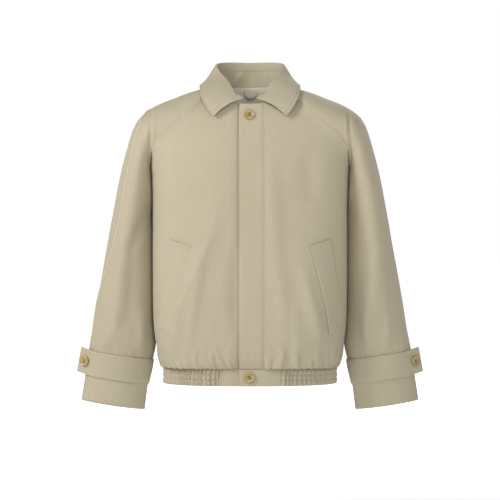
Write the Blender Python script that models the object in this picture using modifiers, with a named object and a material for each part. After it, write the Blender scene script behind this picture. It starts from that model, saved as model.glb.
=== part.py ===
"""Raglan harrington jacket, buttoned and filled out as worn.

Metres, +Z up. The front faces -Y and the wearer's left is +X. The origin is
the middle of the neck base, level with the neck ends of the shoulders, which
is where the wearer carries the jacket.

Each cut piece is a sheet that is read from a few sections of the garment and
given its thickness on the inside. A level runs from 0 at the neckline to 1 at
the hem or the cuff, and 0.53 is the underarm.
"""
import math
from collections import namedtuple

import bmesh
import bpy
from mathutils import Matrix, Vector

# Making up
CLOTH = 0.0016              # one layer of cloth with its turnings
FACING = 0.0010             # light cloth inside the neck
FACING_CLEAR = 0.0014       # space between the back and its facing
SEAM = 0.0003               # gap between neighbouring pieces
TURNING = 0.0015            # narrow strip along each seam
UNDERARM = 0.53             # level where body and sleeve part
SIDE_Y = -0.008             # depth at which the body is widest
BODY_POWER = 2.3            # 2 is an ellipse, more is boxier

# Front closing, as distances from the centre line
OVERLAP_X = -0.0227         # free edge of the placket
PLACKET_SEAM_X = 0.0300     # seam of the placket on the left front
UNDER_X = 0.0180            # edge of the right front, under the placket
PLACKET_OUT = 0.0012        # how far the placket stands out
PLACKET_THICK = 0.0022
UNDER_IN = -0.0024          # how far the right front sinks under the placket
UNDER_BLEND = 0.0200        # width over which it sinks

# Hem band
BAND_TOP = -0.6093
BAND_BOTTOM = -0.6465
BAND_HALF_WIDTH = 0.1885
BAND_FRONT = 0.1275
BAND_BACK = 0.1255
BAND_POWER = 2.3
BAND_THICK = 0.0024
TAB_END_X = 0.0655          # where the plain front of the band meets the elastic
RIB_PITCH = 0.0078
RIB_HEIGHT = 0.0026
RIB_LEAN = 0.30             # share of a pitch that a rib leans over its height
RIB_SCALLOP = 0.0006        # how far each rib is drawn in at the band's two edges

# Cuff straps
STRAP_TOP_LEVEL = 0.890
STRAP_BOTTOM_LEVEL = 0.945
STRAP_THICK = 0.0024
STRAP_OUT = 0.0034          # outer face above the sleeve
STRAP_LEAVES = 0.250        # angle, in turns of a half, where it leaves the sleeve
STRAP_TAB = 0.044           # straight end past that place
STRAP_RISE = 0.12           # how steeply that end turns up
STRAP_BUTTON = 0.0175       # button centre from the free end

FULLNESS = 0.004            # how far the sleeve swells over the strap
FULLNESS_RUN = 0.06         # levels over which it does

# Collar
LEAF_THICK = 0.0018
STAND_THICK = 0.0016
ROLL_RADIUS = 0.0036
LEAF_TURN_IN = 0.016        # how far the leaf runs down inside the roll

# Pocket welts and buttons
WELT_THICK = 0.0022
WELT_CLEAR = 0.0016         # space under a welt, on the curve of the front
BUTTON_RADIUS = 0.0120
BUTTON_THICK = 0.0036
BUTTON_STAND_OFF = 0.0008
HOLE_RADIUS = 0.0011
HOLE_SPACING = 0.0042

CLOTH_COLOUR = (0.546, 0.479, 0.352)
FACING_COLOUR = (0.397, 0.365, 0.275)
BUTTON_COLOUR = (0.578, 0.445, 0.188)

# Centre lines: height and distance from the middle plane
Centre = namedtuple("Centre", "level z depth")
FRONT = [
    Centre(0.00, -0.042, 0.0880),
    Centre(0.10, -0.065, 0.0980),
    Centre(0.17, -0.085, 0.1060),
    Centre(0.25, -0.113, 0.1160),
    Centre(0.32, -0.138, 0.1230),
    Centre(0.39, -0.168, 0.1280),
    Centre(0.46, -0.203, 0.1320),
    Centre(0.53, -0.240, 0.1340),
    Centre(0.70, -0.378, 0.1360),
    Centre(0.88, -0.523, 0.1375),
    Centre(0.97, -0.588, 0.1350),
    Centre(1.00, -0.609, 0.1290),
]
BACK = [
    Centre(0.00, 0.006, 0.0720),
    Centre(0.10, -0.030, 0.0930),
    Centre(0.17, -0.058, 0.1050),
    Centre(0.25, -0.093, 0.1170),
    Centre(0.32, -0.126, 0.1260),
    Centre(0.39, -0.162, 0.1320),
    Centre(0.46, -0.201, 0.1360),
    Centre(0.53, -0.240, 0.1380),
    Centre(0.70, -0.378, 0.1360),
    Centre(0.88, -0.523, 0.1370),
    Centre(0.97, -0.588, 0.1340),
    Centre(1.00, -0.609, 0.1270),
]

# Seams on the wearer's left half
Seam = namedtuple("Seam", "level x y z")
RAGLAN_FRONT = [
    Seam(0.00, 0.0780, -0.045, -0.0080),
    Seam(0.10, 0.1220, -0.078, -0.0520),
    Seam(0.17, 0.1490, -0.087, -0.0730),
    Seam(0.25, 0.1880, -0.084, -0.1045),
    Seam(0.32, 0.2080, -0.067, -0.1300),
    Seam(0.39, 0.2140, -0.043, -0.1620),
    Seam(0.46, 0.2145, -0.019, -0.2020),
    Seam(0.53, 0.2132, -0.004, -0.2400),
]
RAGLAN_BACK = [
    Seam(0.00, 0.0700, 0.046, 0.0050),
    Seam(0.10, 0.1080, 0.088, -0.0300),
    Seam(0.17, 0.1360, 0.104, -0.0580),
    Seam(0.25, 0.1680, 0.111, -0.0930),
    Seam(0.32, 0.1910, 0.106, -0.1280),
    Seam(0.39, 0.2070, 0.086, -0.1640),
    Seam(0.46, 0.2145, 0.048, -0.2040),
    Seam(0.53, 0.2132, -0.004, -0.2400),
]
SIDE = [
    Seam(0.53, 0.2132, -0.004, -0.2400),
    Seam(0.57, 0.2128, -0.004, -0.2700),
    Seam(0.70, 0.2128, -0.004, -0.3780),
    Seam(0.80, 0.2122, -0.004, -0.4600),
    Seam(0.88, 0.2098, -0.004, -0.5230),
    Seam(0.94, 0.2035, -0.004, -0.5660),
    Seam(0.97, 0.1976, -0.004, -0.5880),
    Seam(1.00, 0.1886, -0.004, -0.6090),
]
SLEEVE_INNER = [
    Seam(0.53, 0.2132, -0.004, -0.2400),
    Seam(0.57, 0.2136, 0.010, -0.2795),
    Seam(0.62, 0.2136, 0.014, -0.3290),
    Seam(0.70, 0.2134, 0.014, -0.4080),
    Seam(0.78, 0.2122, 0.014, -0.4875),
    Seam(0.845, 0.2078, 0.014, -0.5515),
    Seam(0.89, 0.2145, 0.014, -0.5960),
    Seam(0.945, 0.2250, 0.014, -0.6510),
    Seam(1.00, 0.2322, 0.014, -0.7065),
]

# Overarm line of the sleeve, with the sleeve's depth before and behind it
Overarm = namedtuple("Overarm", "level x y z front back")
OVERARM = [
    Overarm(0.00, 0.0850, 0.002, 0.0030, 0.047, 0.045),
    Overarm(0.10, 0.1340, 0.003, -0.0105, 0.081, 0.086),
    Overarm(0.17, 0.1690, 0.004, -0.0240, 0.091, 0.101),
    Overarm(0.25, 0.2072, 0.006, -0.0395, 0.093, 0.107),
    Overarm(0.32, 0.2362, 0.008, -0.0592, 0.090, 0.107),
    Overarm(0.39, 0.2558, 0.010, -0.0880, 0.088, 0.104),
    Overarm(0.46, 0.2703, 0.011, -0.1320, 0.087, 0.097),
    Overarm(0.53, 0.2857, 0.012, -0.1920, 0.086, 0.090),
    Overarm(0.60, 0.2995, 0.014, -0.2620, 0.084, 0.086),
    Overarm(0.70, 0.3199, 0.014, -0.3740, 0.078, 0.080),
    Overarm(0.78, 0.3345, 0.014, -0.4580, 0.071, 0.073),
    Overarm(0.845, 0.3455, 0.014, -0.5300, 0.063, 0.065),
    Overarm(0.89, 0.3548, 0.014, -0.5755, 0.055, 0.057),
    Overarm(0.945, 0.3635, 0.014, -0.6300, 0.048, 0.050),
    Overarm(1.00, 0.3722, 0.014, -0.6855, 0.043, 0.045),
]

# Collar from the centre back (0) to a front end (1): neck seam, roll line and
# free edge, and how far the leaf bows out between the roll and the edge
Collar = namedtuple("Collar", "along neck_x neck_y neck_z fold_x fold_y fold_z edge_x edge_y edge_z bow")
COLLAR = [
    Collar(0.00, 0.000, 0.0725, 0.008, 0.0000, 0.077, 0.064, 0.000, 0.098, 0.004, 0.007),
    Collar(0.20, 0.037, 0.0655, 0.008, 0.0360, 0.071, 0.064, 0.047, 0.093, 0.003, 0.007),
    Collar(0.40, 0.070, 0.0430, 0.007, 0.0655, 0.050, 0.061, 0.089, 0.066, 0.003, 0.004),
    Collar(0.52, 0.083, 0.0140, 0.005, 0.0735, 0.026, 0.054, 0.107, 0.022, 0.004, 0.001),
    Collar(0.65, 0.082, -0.021, 0.001, 0.0640, -0.006, 0.034, 0.1105, -0.018, 0.0045, 0.001),
    Collar(0.78, 0.069, -0.056, -0.012, 0.0480, -0.038, 0.013, 0.107, -0.070, -0.0205, 0.006),
    Collar(0.90, 0.045, -0.079, -0.033, 0.0310, -0.068, -0.014, 0.093, -0.098, -0.050, 0.008),
    Collar(1.00, 0.018, -0.088, -0.0385, 0.0150, -0.087, -0.029, 0.078, -0.107, -0.070, 0.009),
]

# Large folds: straight runs from one end to the other as seen from the front
# or the back, in the x and z of the garment. Positive heights stand out.
Fold = namedtuple("Fold", "x1 z1 x2 z2 width height")
FRONT_FOLDS = [
    Fold(-0.077, -0.330, -0.165, -0.560, 0.024, 0.0075),
    Fold(-0.036, -0.360, -0.060, -0.540, 0.020, -0.0050),
    Fold(-0.105, -0.320, -0.185, -0.440, 0.026, -0.0030),
    Fold(0.055, -0.250, 0.078, -0.560, 0.022, 0.0045),
    Fold(0.100, -0.400, 0.150, -0.570, 0.020, 0.0050),
    Fold(0.120, -0.170, 0.126, -0.300, 0.030, -0.0030),
]
BACK_FOLDS = [
    Fold(-0.060, -0.330, -0.120, -0.560, 0.026, 0.0065),
    Fold(0.010, -0.300, -0.010, -0.540, 0.026, -0.0050),
    Fold(0.070, -0.340, 0.110, -0.570, 0.024, 0.0060),
    Fold(-0.150, -0.200, -0.080, -0.300, 0.030, -0.0035),
    Fold(0.150, -0.210, 0.085, -0.310, 0.030, -0.0035),
]
SLEEVE_FOLDS = [
    Fold(0.232, -0.240, 0.285, -0.380, 0.022, -0.0050),
    Fold(0.262, -0.170, 0.270, -0.330, 0.022, 0.0035),
    Fold(0.240, -0.420, 0.315, -0.540, 0.022, 0.0045),
]

# Pocket welts as seen from the front: the upper and lower ends of both edges
WELT_INNER_TOP = (0.1225, -0.347)
WELT_OUTER_TOP = (0.1660, -0.333)
WELT_INNER_BOTTOM = (0.1660, -0.535)
WELT_OUTER_BOTTOM = (0.1985, -0.506)

NECK_BUTTON_Z = -0.0665
HEM_BUTTON_Z = -0.6275
BUTTON_X = -0.0015


def clear_scene():
    """Remove every object that is already in the file."""
    for old in list(bpy.data.objects):
        bpy.data.objects.remove(old, do_unlink=True)


def finish(name, colour, roughness):
    """Plain material for a piece."""
    material = bpy.data.materials.new(name)
    material.use_nodes = True
    shader = material.node_tree.nodes["Principled BSDF"]
    shader.inputs["Base Color"].default_value = (*colour, 1.0)
    shader.inputs["Roughness"].default_value = roughness
    shader.inputs["Metallic"].default_value = 0.0
    return material


def read(table, column, at):
    """Smooth value of one column of a table, at a value of its first column."""
    keys = [row[0] for row in table]
    values = [getattr(row, column) for row in table]
    last = len(keys) - 1
    at = min(max(at, keys[0]), keys[last])
    low = max(i for i in range(last) if keys[i] <= at)

    def slope(i):
        before, after = max(i - 1, 0), min(i + 1, last)
        return (values[after] - values[before]) / (keys[after] - keys[before])

    span = keys[low + 1] - keys[low]
    t = (at - keys[low]) / span
    start, end = values[low], values[low + 1]
    return (start * (1 + 2 * t) * (1 - t) ** 2 + end * t * t * (3 - 2 * t)
            + span * (slope(low) * t * (1 - t) ** 2 - slope(low + 1) * t * t * (1 - t)))


def read_point(table, at, prefix=""):
    """Point whose x, y and z are columns of a table."""
    return Vector([read(table, prefix + axis, at) for axis in "xyz"])


def signed_power(value, power):
    return math.copysign(abs(value) ** power, value)


def step_along(line, distance):
    """Point on a line of points, a distance from its start."""
    for before, after in zip(line, line[1:]):
        length = (after - before).length
        if distance <= length:
            return before.lerp(after, distance / length)
        distance -= length
    return line[-1]


def columns_on(line, count, trim=SEAM / 2):
    """Points along a line whose ends are pulled in by a trim.

    A close neighbour beside each end keeps the wall square to the seam there.
    """
    last = len(line) - 1
    inner = [line[round(last * i / (count - 3))] for i in range(1, count - 3)]
    start = [step_along(line, trim), step_along(line, trim + TURNING)]
    end = [step_along(line[::-1], trim + TURNING), step_along(line[::-1], trim)]
    return start + inner + end


def spread(start, end, count):
    """Evenly spaced numbers, both ends included."""
    return [start + (end - start) * i / (count - 1) for i in range(count)]


def fold_height(x, z, folds):
    """Height of the folds at a place, each one soft across and along."""
    height = 0.0
    for fold in folds:
        run = Vector((fold.x2 - fold.x1, fold.z2 - fold.z1))
        here = Vector((x - fold.x1, z - fold.z1))
        along = here.dot(run) / run.length_squared
        if 0.0 < along < 1.0:
            across = (here - run * along).length / fold.width
            height += fold.height * math.exp(-across * across) * math.sin(math.pi * along) ** 0.7
    return height


# The body: one row of a panel at a level

def edge_point(level, raglan):
    """Raglan seam above the underarm, side seam below it."""
    return read_point(raglan if level < UNDERARM else SIDE, level)


def section(level, front):
    """Half width, depth, end angle and end point of the body at a level."""
    centre = FRONT if front else BACK
    edge = edge_point(level, RAGLAN_FRONT if front else RAGLAN_BACK)
    facing = -1.0 if front else 1.0
    reach = read(centre, "depth", level) - facing * SIDE_Y
    turn = signed_power(facing * (edge.y - SIDE_Y) / reach, BODY_POWER / 2)
    end = math.acos(turn)
    half_width = edge.x / math.sin(end) ** (2 / BODY_POWER)
    return half_width, reach, end, edge, read(centre, "z", level)


def body_point(level, angle, front):
    """Point of the body's surface at an angle from the centre line."""
    half_width, reach, end, edge, centre_z = section(level, front)
    facing = -1.0 if front else 1.0
    x = half_width * signed_power(math.sin(angle), 2 / BODY_POWER)
    y = SIDE_Y + facing * reach * signed_power(math.cos(angle), 2 / BODY_POWER)
    rise = (max(angle, 0.0) / end) ** 2
    return Vector((x, y, centre_z + (edge.z - centre_z) * rise))


def angle_at(level, x, front):
    """Angle at which the body's surface has a given x."""
    half_width = section(level, front)[0]
    return math.asin(signed_power(x / half_width, BODY_POWER / 2))


def body_row(level, start_x, front, side, count):
    """Points of one row, from an x near the centre line to the seam."""
    start = angle_at(level, start_x, front)
    end = section(level, front)[2]
    line = [body_point(level, a, front) for a in spread(start, end, 49)]
    return [Vector((side * p.x, p.y, p.z)) for p in columns_on(line, count)]


def move_out(point, distance):
    """Point of the body moved away from its upright middle line."""
    away = Vector((0.35 * point.x, point.y, 0.0)).normalized()
    return point + away * distance


def body_folds(point):
    """Point of the body with the large folds."""
    folds = FRONT_FOLDS if point.y < 0 else BACK_FOLDS
    return move_out(point, fold_height(point.x, point.z, folds))


def front_surface(x, z):
    """Point of the front at an x and a z below the collar, with its folds."""
    low, high = 0.0, 1.0
    for _ in range(30):
        middle = (low + high) / 2
        angle = angle_at(middle, abs(x), True)
        if body_point(middle, angle, True).z > z:
            low = middle
        else:
            high = middle
    point = body_point(low, angle_at(low, abs(x), True), True)
    return body_folds(Vector((x, point.y, z)))


# The sleeve: one row of a half at a level

def sleeve_point(level, share, front):
    """Point of a sleeve half, from its inner or raglan seam (0) to the overarm (1)."""
    outer = read_point(OVERARM, level)
    depth = read(OVERARM, "front" if front else "back", level)
    raglan = RAGLAN_FRONT if front else RAGLAN_BACK
    inner = read_point(raglan if level < UNDERARM else SLEEVE_INNER, level)
    facing = -1.0 if front else 1.0
    sine = min(max(facing * (inner.y - outer.y) / depth, 0.0), 1.0)
    start = math.pi - math.asin(sine)
    bulge = Vector((0.0, facing * depth, 0.0))
    reach = (outer - inner + bulge * math.sin(start)) / (1 - math.cos(start))
    angle = start * (1 - share)
    return outer - reach + reach * math.cos(angle) + bulge * math.sin(angle)


def sleeve_folds(point, level, share, front):
    """Point of a sleeve with its large folds and the fullness over the strap."""
    height = fold_height(point.x, point.z, SLEEVE_FOLDS) * math.sin(math.pi * share) ** 0.5
    if STRAP_TOP_LEVEL - FULLNESS_RUN < level < STRAP_TOP_LEVEL:
        swell = math.sin(math.pi * (STRAP_TOP_LEVEL - level) / FULLNESS_RUN)
        height += FULLNESS * swell * math.sin(math.pi * share) ** 0.7
    middle = (sleeve_point(level, 0.0, front) + sleeve_point(level, 1.0, front)) / 2
    away = point - middle
    away.z = 0.0
    return point + away.normalized() * height


def sleeve_row(level, front, side, count):
    """Points of one row of a sleeve half."""
    row = []
    for share in spread(0.0, 1.0, 49):
        row.append(sleeve_folds(sleeve_point(level, share, front), level, share, front))
    return [Vector((side * p.x, p.y, p.z)) for p in columns_on(row, count)]


# Making a sheet into a piece of cloth

def sheet(name, rows, thickness, material, parts):
    """Grid primitive laid on rows of points, thickened on its inner side.

    Rows run down the piece and columns to the right as seen from outside.
    """
    tall, wide = len(rows), len(rows[0])
    mesh = bpy.data.meshes.new(name)
    form = bmesh.new()
    bmesh.ops.create_grid(form, x_segments=wide - 1, y_segments=tall - 1, size=1.0)
    for vert in form.verts:
        column = round((vert.co.x + 1) / 2 * (wide - 1))
        row = round((1 - vert.co.y) / 2 * (tall - 1))
        vert.co = rows[row][column]
    for edge in form.edges:
        edge.smooth = not edge.is_boundary
    form.to_mesh(mesh)
    form.free()
    piece = bpy.data.objects.new(name, mesh)
    parts.objects.link(piece)
    mesh.materials.append(material)
    mesh.shade_smooth()
    wall = piece.modifiers.new("Wall", "SOLIDIFY")
    wall.thickness = thickness
    wall.offset = -1.0
    return piece


def facing_right(rows, side):
    """Rows turned so that columns run to the right as seen from outside."""
    return rows if side > 0 else [row[::-1] for row in rows]


def body_levels():
    """Levels of the rows of a body panel, closer together over the hem."""
    return spread(0.0, UNDERARM, 10) + spread(0.60, 0.92, 6) + [0.950, 0.975, 1.0]


def sleeve_levels():
    """Levels of the rows of a sleeve half, closer together at the strap."""
    upper = spread(0.0, UNDERARM, 10) + spread(0.585, 0.79, 4)
    return upper + [0.830, 0.862, 0.884, 0.892, 0.945, 1.0]


def make_fronts(cloth, parts):
    """Both fronts. The right one sinks a little where the placket covers it."""
    left, right = [], []
    for level in body_levels():
        left.append([body_folds(p) for p in body_row(level, PLACKET_SEAM_X + SEAM, True, 1, 11)])
        start_x = -OVERLAP_X + UNDER_BLEND
        outer = body_row(level, start_x, True, -1, 10)
        under = [front_surface_at_level(level, x) for x in (UNDER_X, OVERLAP_X + 0.002, OVERLAP_X - 0.002)]
        row = under + [body_folds(p) for p in outer]
        right.append([move_out(p, UNDER_IN * sink_share(p.x)) for p in row])
    sheet("front_left", left, CLOTH, cloth, parts)
    sheet("front_right", facing_right(right, -1), CLOTH, cloth, parts)


def sink_share(x):
    """1 where the right front lies under the placket, 0 clear of it."""
    share = min(max((x - OVERLAP_X) / UNDER_BLEND + 1, 0.0), 1.0)
    return share * share * (3 - 2 * share)


def make_placket(cloth, parts):
    """Fly placket over the right front, from the neck to the hem band."""
    rows = []
    for level in body_levels():
        centre_z = read(FRONT, "z", level)
        row = [front_surface_at_level(level, x) for x in spread(OVERLAP_X, PLACKET_SEAM_X, 4)]
        rows.append([move_out(Vector((p.x, p.y, centre_z)), PLACKET_OUT) for p in row])
    sheet("placket", rows, PLACKET_THICK, cloth, parts)


def front_surface_at_level(level, x):
    """Point of the front in the row at a level, with its folds."""
    point = body_point(level, angle_at(level, abs(x), True), True)
    return body_folds(Vector((x, point.y, point.z)))


def make_back(cloth, parts):
    """Back of the body, one piece from side seam to side seam."""
    rows = []
    for level in body_levels():
        left = [body_folds(p) for p in body_row(level, 0.0, False, 1, 11)][2:]
        right = [body_folds(p) for p in body_row(level, 0.0, False, -1, 11)][2:]
        middle = body_folds(body_point(level, 0.0, False))
        rows.append(left[::-1] + [middle] + right)
    sheet("back", rows, CLOTH, cloth, parts)


def make_sleeves(cloth, parts):
    """Four sleeve halves, joined along the overarm and the underarm."""
    for side, hand in ((-1, "right"), (1, "left")):
        for front, place in ((True, "front"), (False, "back")):
            rows = [sleeve_row(level, front, side, 10) for level in sleeve_levels()]
            turned = side if front else -side
            sheet("sleeve_%s_%s" % (place, hand), facing_right(rows, turned), CLOTH, cloth, parts)


# The collar

def collar_frame(along):
    """Roll line, direction up the stand and direction outwards, at a place."""
    step = 0.01
    neck = read_point(COLLAR, along, "neck_")
    fold = read_point(COLLAR, along, "fold_")
    before = read_point(COLLAR, max(along - step, 0.0), "fold_")
    after = read_point(COLLAR, min(along + step, 1.0), "fold_")
    up = (fold - neck).normalized()
    out = up.cross(after - before).normalized()
    return neck, fold, up, out


def leaf_line(along):
    """Section of the leaf: up inside the roll, over it and down to the edge."""
    neck, fold, up, out = collar_frame(along)
    height = (fold - neck).length
    centre = fold - up * ROLL_RADIUS
    drop = min(LEAF_TURN_IN, 0.35 * height)
    line = [centre - out * ROLL_RADIUS - up * drop]
    for turn in spread(0.0, math.pi, 5):
        line.append(centre - out * ROLL_RADIUS * math.cos(turn) + up * ROLL_RADIUS * math.sin(turn))
    edge = read_point(COLLAR, along, "edge_")
    start = line[-1]
    lift = Vector((out.x, out.y, 0.0)).normalized() + Vector((0.0, 0.0, 0.8))
    middle = (start + edge) / 2 + lift.normalized() * 2 * read(COLLAR, "bow", along)
    for share in spread(0.25, 1.0, 4):
        line.append(start.lerp(middle, share).lerp(middle.lerp(edge, share), share))
    return line


def stand_line(along):
    """Section of the stand, from its upper seam down to the neck."""
    neck, fold, up, out = collar_frame(along)
    height = (fold - neck).length
    drop = min(LEAF_TURN_IN, 0.35 * height)
    top = fold - up * (ROLL_RADIUS + drop + 2 * SEAM) - out * ROLL_RADIUS
    foot = neck - out * ROLL_RADIUS
    return [top.lerp(foot, share) for share in (0.0, 0.5, 1.0)]


def mirrored_rows(line_at, columns):
    """Rows from the wearer's left end of the collar round to the right one."""
    lines = [line_at(along) for along in columns]
    flipped = [[Vector((-p.x, p.y, p.z)) for p in line] for line in lines]
    whole = flipped[::-1] + lines[1:]
    return [[line[i] for line in whole] for i in range(len(lines[0]))]


def make_collar(cloth, parts):
    """Stand and leaf."""
    columns = spread(0.0, 0.58, 6) + spread(0.68, 1.0, 5)
    sheet("collar_stand", mirrored_rows(stand_line, columns), STAND_THICK, cloth, parts)
    sheet("collar_leaf", mirrored_rows(leaf_line, columns)[::-1], LEAF_THICK, cloth, parts)


def make_neck_facing(lining, cloth, parts):
    """Half-moon facing inside the back neck, and the hanger loop on it."""
    rows = []
    for level, reach in zip(spread(0.012, 0.20, 6), (0.052, 0.056, 0.056, 0.050, 0.038, 0.016)):
        row = []
        for x in spread(reach, -reach, 9):
            point = body_point(level, angle_at(level, abs(x), False), False)
            row.append(move_out(Vector((x, point.y, point.z)), -CLOTH - FACING_CLEAR))
        rows.append(row)
    sheet("neck_facing", rows, FACING, lining, parts)

    loop_half, loop_drop, loop_width, stand_off = 0.0150, 0.014, 0.006, 0.0030
    rows = [[], []]
    for across in spread(-1.0, 1.0, 9):
        sag = loop_drop * (1 - across ** 4)
        lift = stand_off * (1.7 - across ** 4)
        for row, z in zip(rows, (0.0, -loop_width)):
            height = -0.0045 - sag + z
            row.append(Vector((0.0015 - loop_half * across, inside_back_y(height) - lift, height)))
    sheet("hanger_loop", rows, FACING, cloth, parts)


def inside_back_y(z):
    """Depth of the facing's inner face on the centre line at a height."""
    low, high = 0.0, 0.4
    for _ in range(30):
        middle = (low + high) / 2
        low, high = (middle, high) if read(BACK, "z", middle) > z else (low, middle)
    return read(BACK, "depth", low) - CLOTH - FACING_CLEAR - FACING


# The hem band

def band_point(angle, z, out=0.0):
    """Point of the band at an angle from the centre front, growing to +X."""
    depth = BAND_FRONT if math.cos(angle) > 0 else BAND_BACK
    depth += SIDE_Y if math.cos(angle) > 0 else -SIDE_Y
    x = BAND_HALF_WIDTH * signed_power(math.sin(angle), 2 / BAND_POWER)
    y = SIDE_Y - depth * signed_power(math.cos(angle), 2 / BAND_POWER)
    return move_out(Vector((x, y, z)), out) if out else Vector((x, y, z))


def band_angle(x):
    """Angle at which the front of the band has a given x."""
    return math.asin(signed_power(x / BAND_HALF_WIDTH, BAND_POWER / 2))


def make_hem_tabs(cloth, parts):
    """Plain ends of the band. The left one laps over the right one."""
    heights = (BAND_TOP, BAND_BOTTOM)
    xs = spread(OVERLAP_X, TAB_END_X, 8)
    rows = [[band_point(band_angle(x), z, PLACKET_OUT) for x in xs] for z in heights]
    sheet("hem_tab_left", rows, PLACKET_THICK, cloth, parts)
    xs = spread(-TAB_END_X, UNDER_X, 8)
    rows = [[band_point(band_angle(x), z, UNDER_IN * sink_share(x)) for x in xs] for z in heights]
    sheet("hem_tab_right", rows, CLOTH, cloth, parts)


def make_hem_elastic(cloth, parts):
    """Elastic part of the band, with its ribs raised over a plain inner face."""
    start = band_angle(TAB_END_X)
    ring = [band_point(a, 0.0) for a in spread(start, 2 * math.pi - start, 400)]
    length = sum((b - a).length for a, b in zip(ring, ring[1:]))
    ribs = round(length / RIB_PITCH)
    line = even_points(ring, 2 * ribs + 1, SEAM)
    shares = (0.0, 1 / 6, 2 / 6, 3 / 6, 4 / 6, 5 / 6, 1.0)
    swells = (0.35, 1.0, 0.40, 1.0, 0.40, 1.0, 0.45)
    rows = [[Vector((p.x, p.y, BAND_TOP + (BAND_BOTTOM - BAND_TOP) * share)) for p in line] for share in shares]
    band = sheet("hem_elastic", rows, BAND_THICK, cloth, parts)

    form = bmesh.new()
    form.from_object(band, bpy.context.evaluated_depsgraph_get())
    form.verts.ensure_lookup_table()
    tall, wide = len(shares), len(line)
    for row in range(tall):
        for column in range(wide):
            vert = form.verts[(tall - 1 - row) * wide + column]
            run = (line[min(column + 1, wide - 1)] - line[max(column - 1, 0)]).normalized()
            out = Vector((run.y, -run.x, 0.0))
            height = RIB_HEIGHT * swells[row] if column % 2 else 0.0
            lean = RIB_LEAN * RIB_PITCH * (0.5 - shares[row]) if 1 < column < wide - 2 else 0.0
            vert.co += out * height + run * lean
            if row in (0, tall - 1) and column % 2:
                vert.co.z += -RIB_SCALLOP if row == 0 else RIB_SCALLOP
    inner = set(form.verts[tall * wide:])
    level_edges = []
    for edge in form.edges:
        start, end = edge.verts
        inside = BAND_BOTTOM + SEAM < start.co.z < BAND_TOP - SEAM
        if start in inner and end in inner and inside and abs(start.co.z - end.co.z) < SEAM:
            level_edges.append(edge)
    bmesh.ops.dissolve_edges(form, edges=level_edges, use_verts=True)
    band.modifiers.clear()
    form.to_mesh(band.data)
    form.free()


def even_points(line, count, trim):
    """Evenly spaced points along a line, short of both its ends by a trim."""
    length = sum((after - before).length for before, after in zip(line, line[1:]))
    return [step_along(line, distance) for distance in spread(trim, length - trim, count)]


# Welts, straps and buttons

def make_pocket_welts(cloth, parts):
    """Slanted welts, laid on the fronts."""
    corners = [Vector(c) for c in (WELT_INNER_TOP, WELT_OUTER_TOP, WELT_INNER_BOTTOM, WELT_OUTER_BOTTOM)]
    for side, name in ((-1, "pocket_welt_right"), (1, "pocket_welt_left")):
        rows = []
        for down in spread(0.0, 1.0, 9):
            inner, outer = corners[0].lerp(corners[2], down), corners[1].lerp(corners[3], down)
            row = []
            for across in spread(0.0, 1.0, 4):
                place = inner.lerp(outer, across)
                point = front_surface(side * place.x, place.y)
                row.append(move_out(point, WELT_THICK + WELT_CLEAR))
            rows.append(row)
        sheet(name, facing_right(rows, side), WELT_THICK, cloth, parts)


def strap_line(level, count=12):
    """Strap along a level: round the front of the sleeve, then straight off it."""
    leave = 1 - STRAP_LEAVES
    line = []
    for share in spread(0.015, leave, count):
        here = sleeve_point(level, share, True)
        ahead = sleeve_point(level, share + 0.01, True)
        run = (ahead - here).normalized()
        out = Vector((run.y, -run.x, 0.0)).normalized()
        line.append(here + out * STRAP_OUT)
    run = (line[-1] - line[-2]).normalized() + Vector((0.0, 0.0, STRAP_RISE))
    line += [line[-1] + run * STRAP_TAB * share for share in (0.25, 0.5, 0.75, 1.0)]
    return line


def make_cuff_straps(cloth, parts):
    """Straps from the underarm seam round the front to a free tab end."""
    for side, name in ((-1, "cuff_strap_right"), (1, "cuff_strap_left")):
        rows = []
        for level in spread(STRAP_TOP_LEVEL, STRAP_BOTTOM_LEVEL, 3):
            rows.append([Vector((side * p.x, p.y, p.z)) for p in strap_line(level)])
        sheet(name, facing_right(rows, side), STRAP_THICK, cloth, parts)


def button_mesh(horn):
    """Turned button with a rim, a dished middle and four holes, facing +Z."""
    profile = [
        (0.0, BUTTON_THICK * 0.62),
        (BUTTON_RADIUS * 0.58, BUTTON_THICK * 0.62),
        (BUTTON_RADIUS * 0.74, BUTTON_THICK),
        (BUTTON_RADIUS * 0.92, BUTTON_THICK),
        (BUTTON_RADIUS, BUTTON_THICK * 0.60),
        (BUTTON_RADIUS * 0.80, 0.0),
        (0.0, 0.0),
    ]
    mesh = bpy.data.meshes.new("button_profile")
    edges = [(i, i + 1) for i in range(len(profile) - 1)]
    mesh.from_pydata([(x, 0.0, z) for x, z in profile], edges, [])
    blank = bpy.data.objects.new("button_blank", mesh)
    bpy.context.scene.collection.objects.link(blank)
    turn = blank.modifiers.new("Turn", "SCREW")
    turn.steps = turn.render_steps = 18
    turn.use_merge_vertices = True
    turn.merge_threshold = 0.00005

    drill = bpy.data.meshes.new("button_holes")
    form = bmesh.new()
    for quarter in range(4):
        angle = math.pi / 4 + quarter * math.pi / 2
        place = Vector((math.cos(angle), math.sin(angle), 0.0)) * HOLE_SPACING / math.sqrt(2)
        bmesh.ops.create_cone(form, cap_ends=True, segments=6, radius1=HOLE_RADIUS, radius2=HOLE_RADIUS,
                              depth=BUTTON_THICK * 3, matrix=Matrix.Translation(place))
    form.to_mesh(drill)
    form.free()
    holes = bpy.data.objects.new("button_holes", drill)
    bpy.context.scene.collection.objects.link(holes)
    cut = blank.modifiers.new("Holes", "BOOLEAN")
    cut.operation = "DIFFERENCE"
    cut.object = holes

    graph = bpy.context.evaluated_depsgraph_get()
    button = bpy.data.meshes.new_from_object(blank.evaluated_get(graph))
    button.name = "button"
    button.materials.append(horn)
    button.shade_smooth()
    button.set_sharp_from_angle(angle=math.radians(35))
    bpy.data.objects.remove(blank, do_unlink=True)
    bpy.data.objects.remove(holes, do_unlink=True)
    return button


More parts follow.
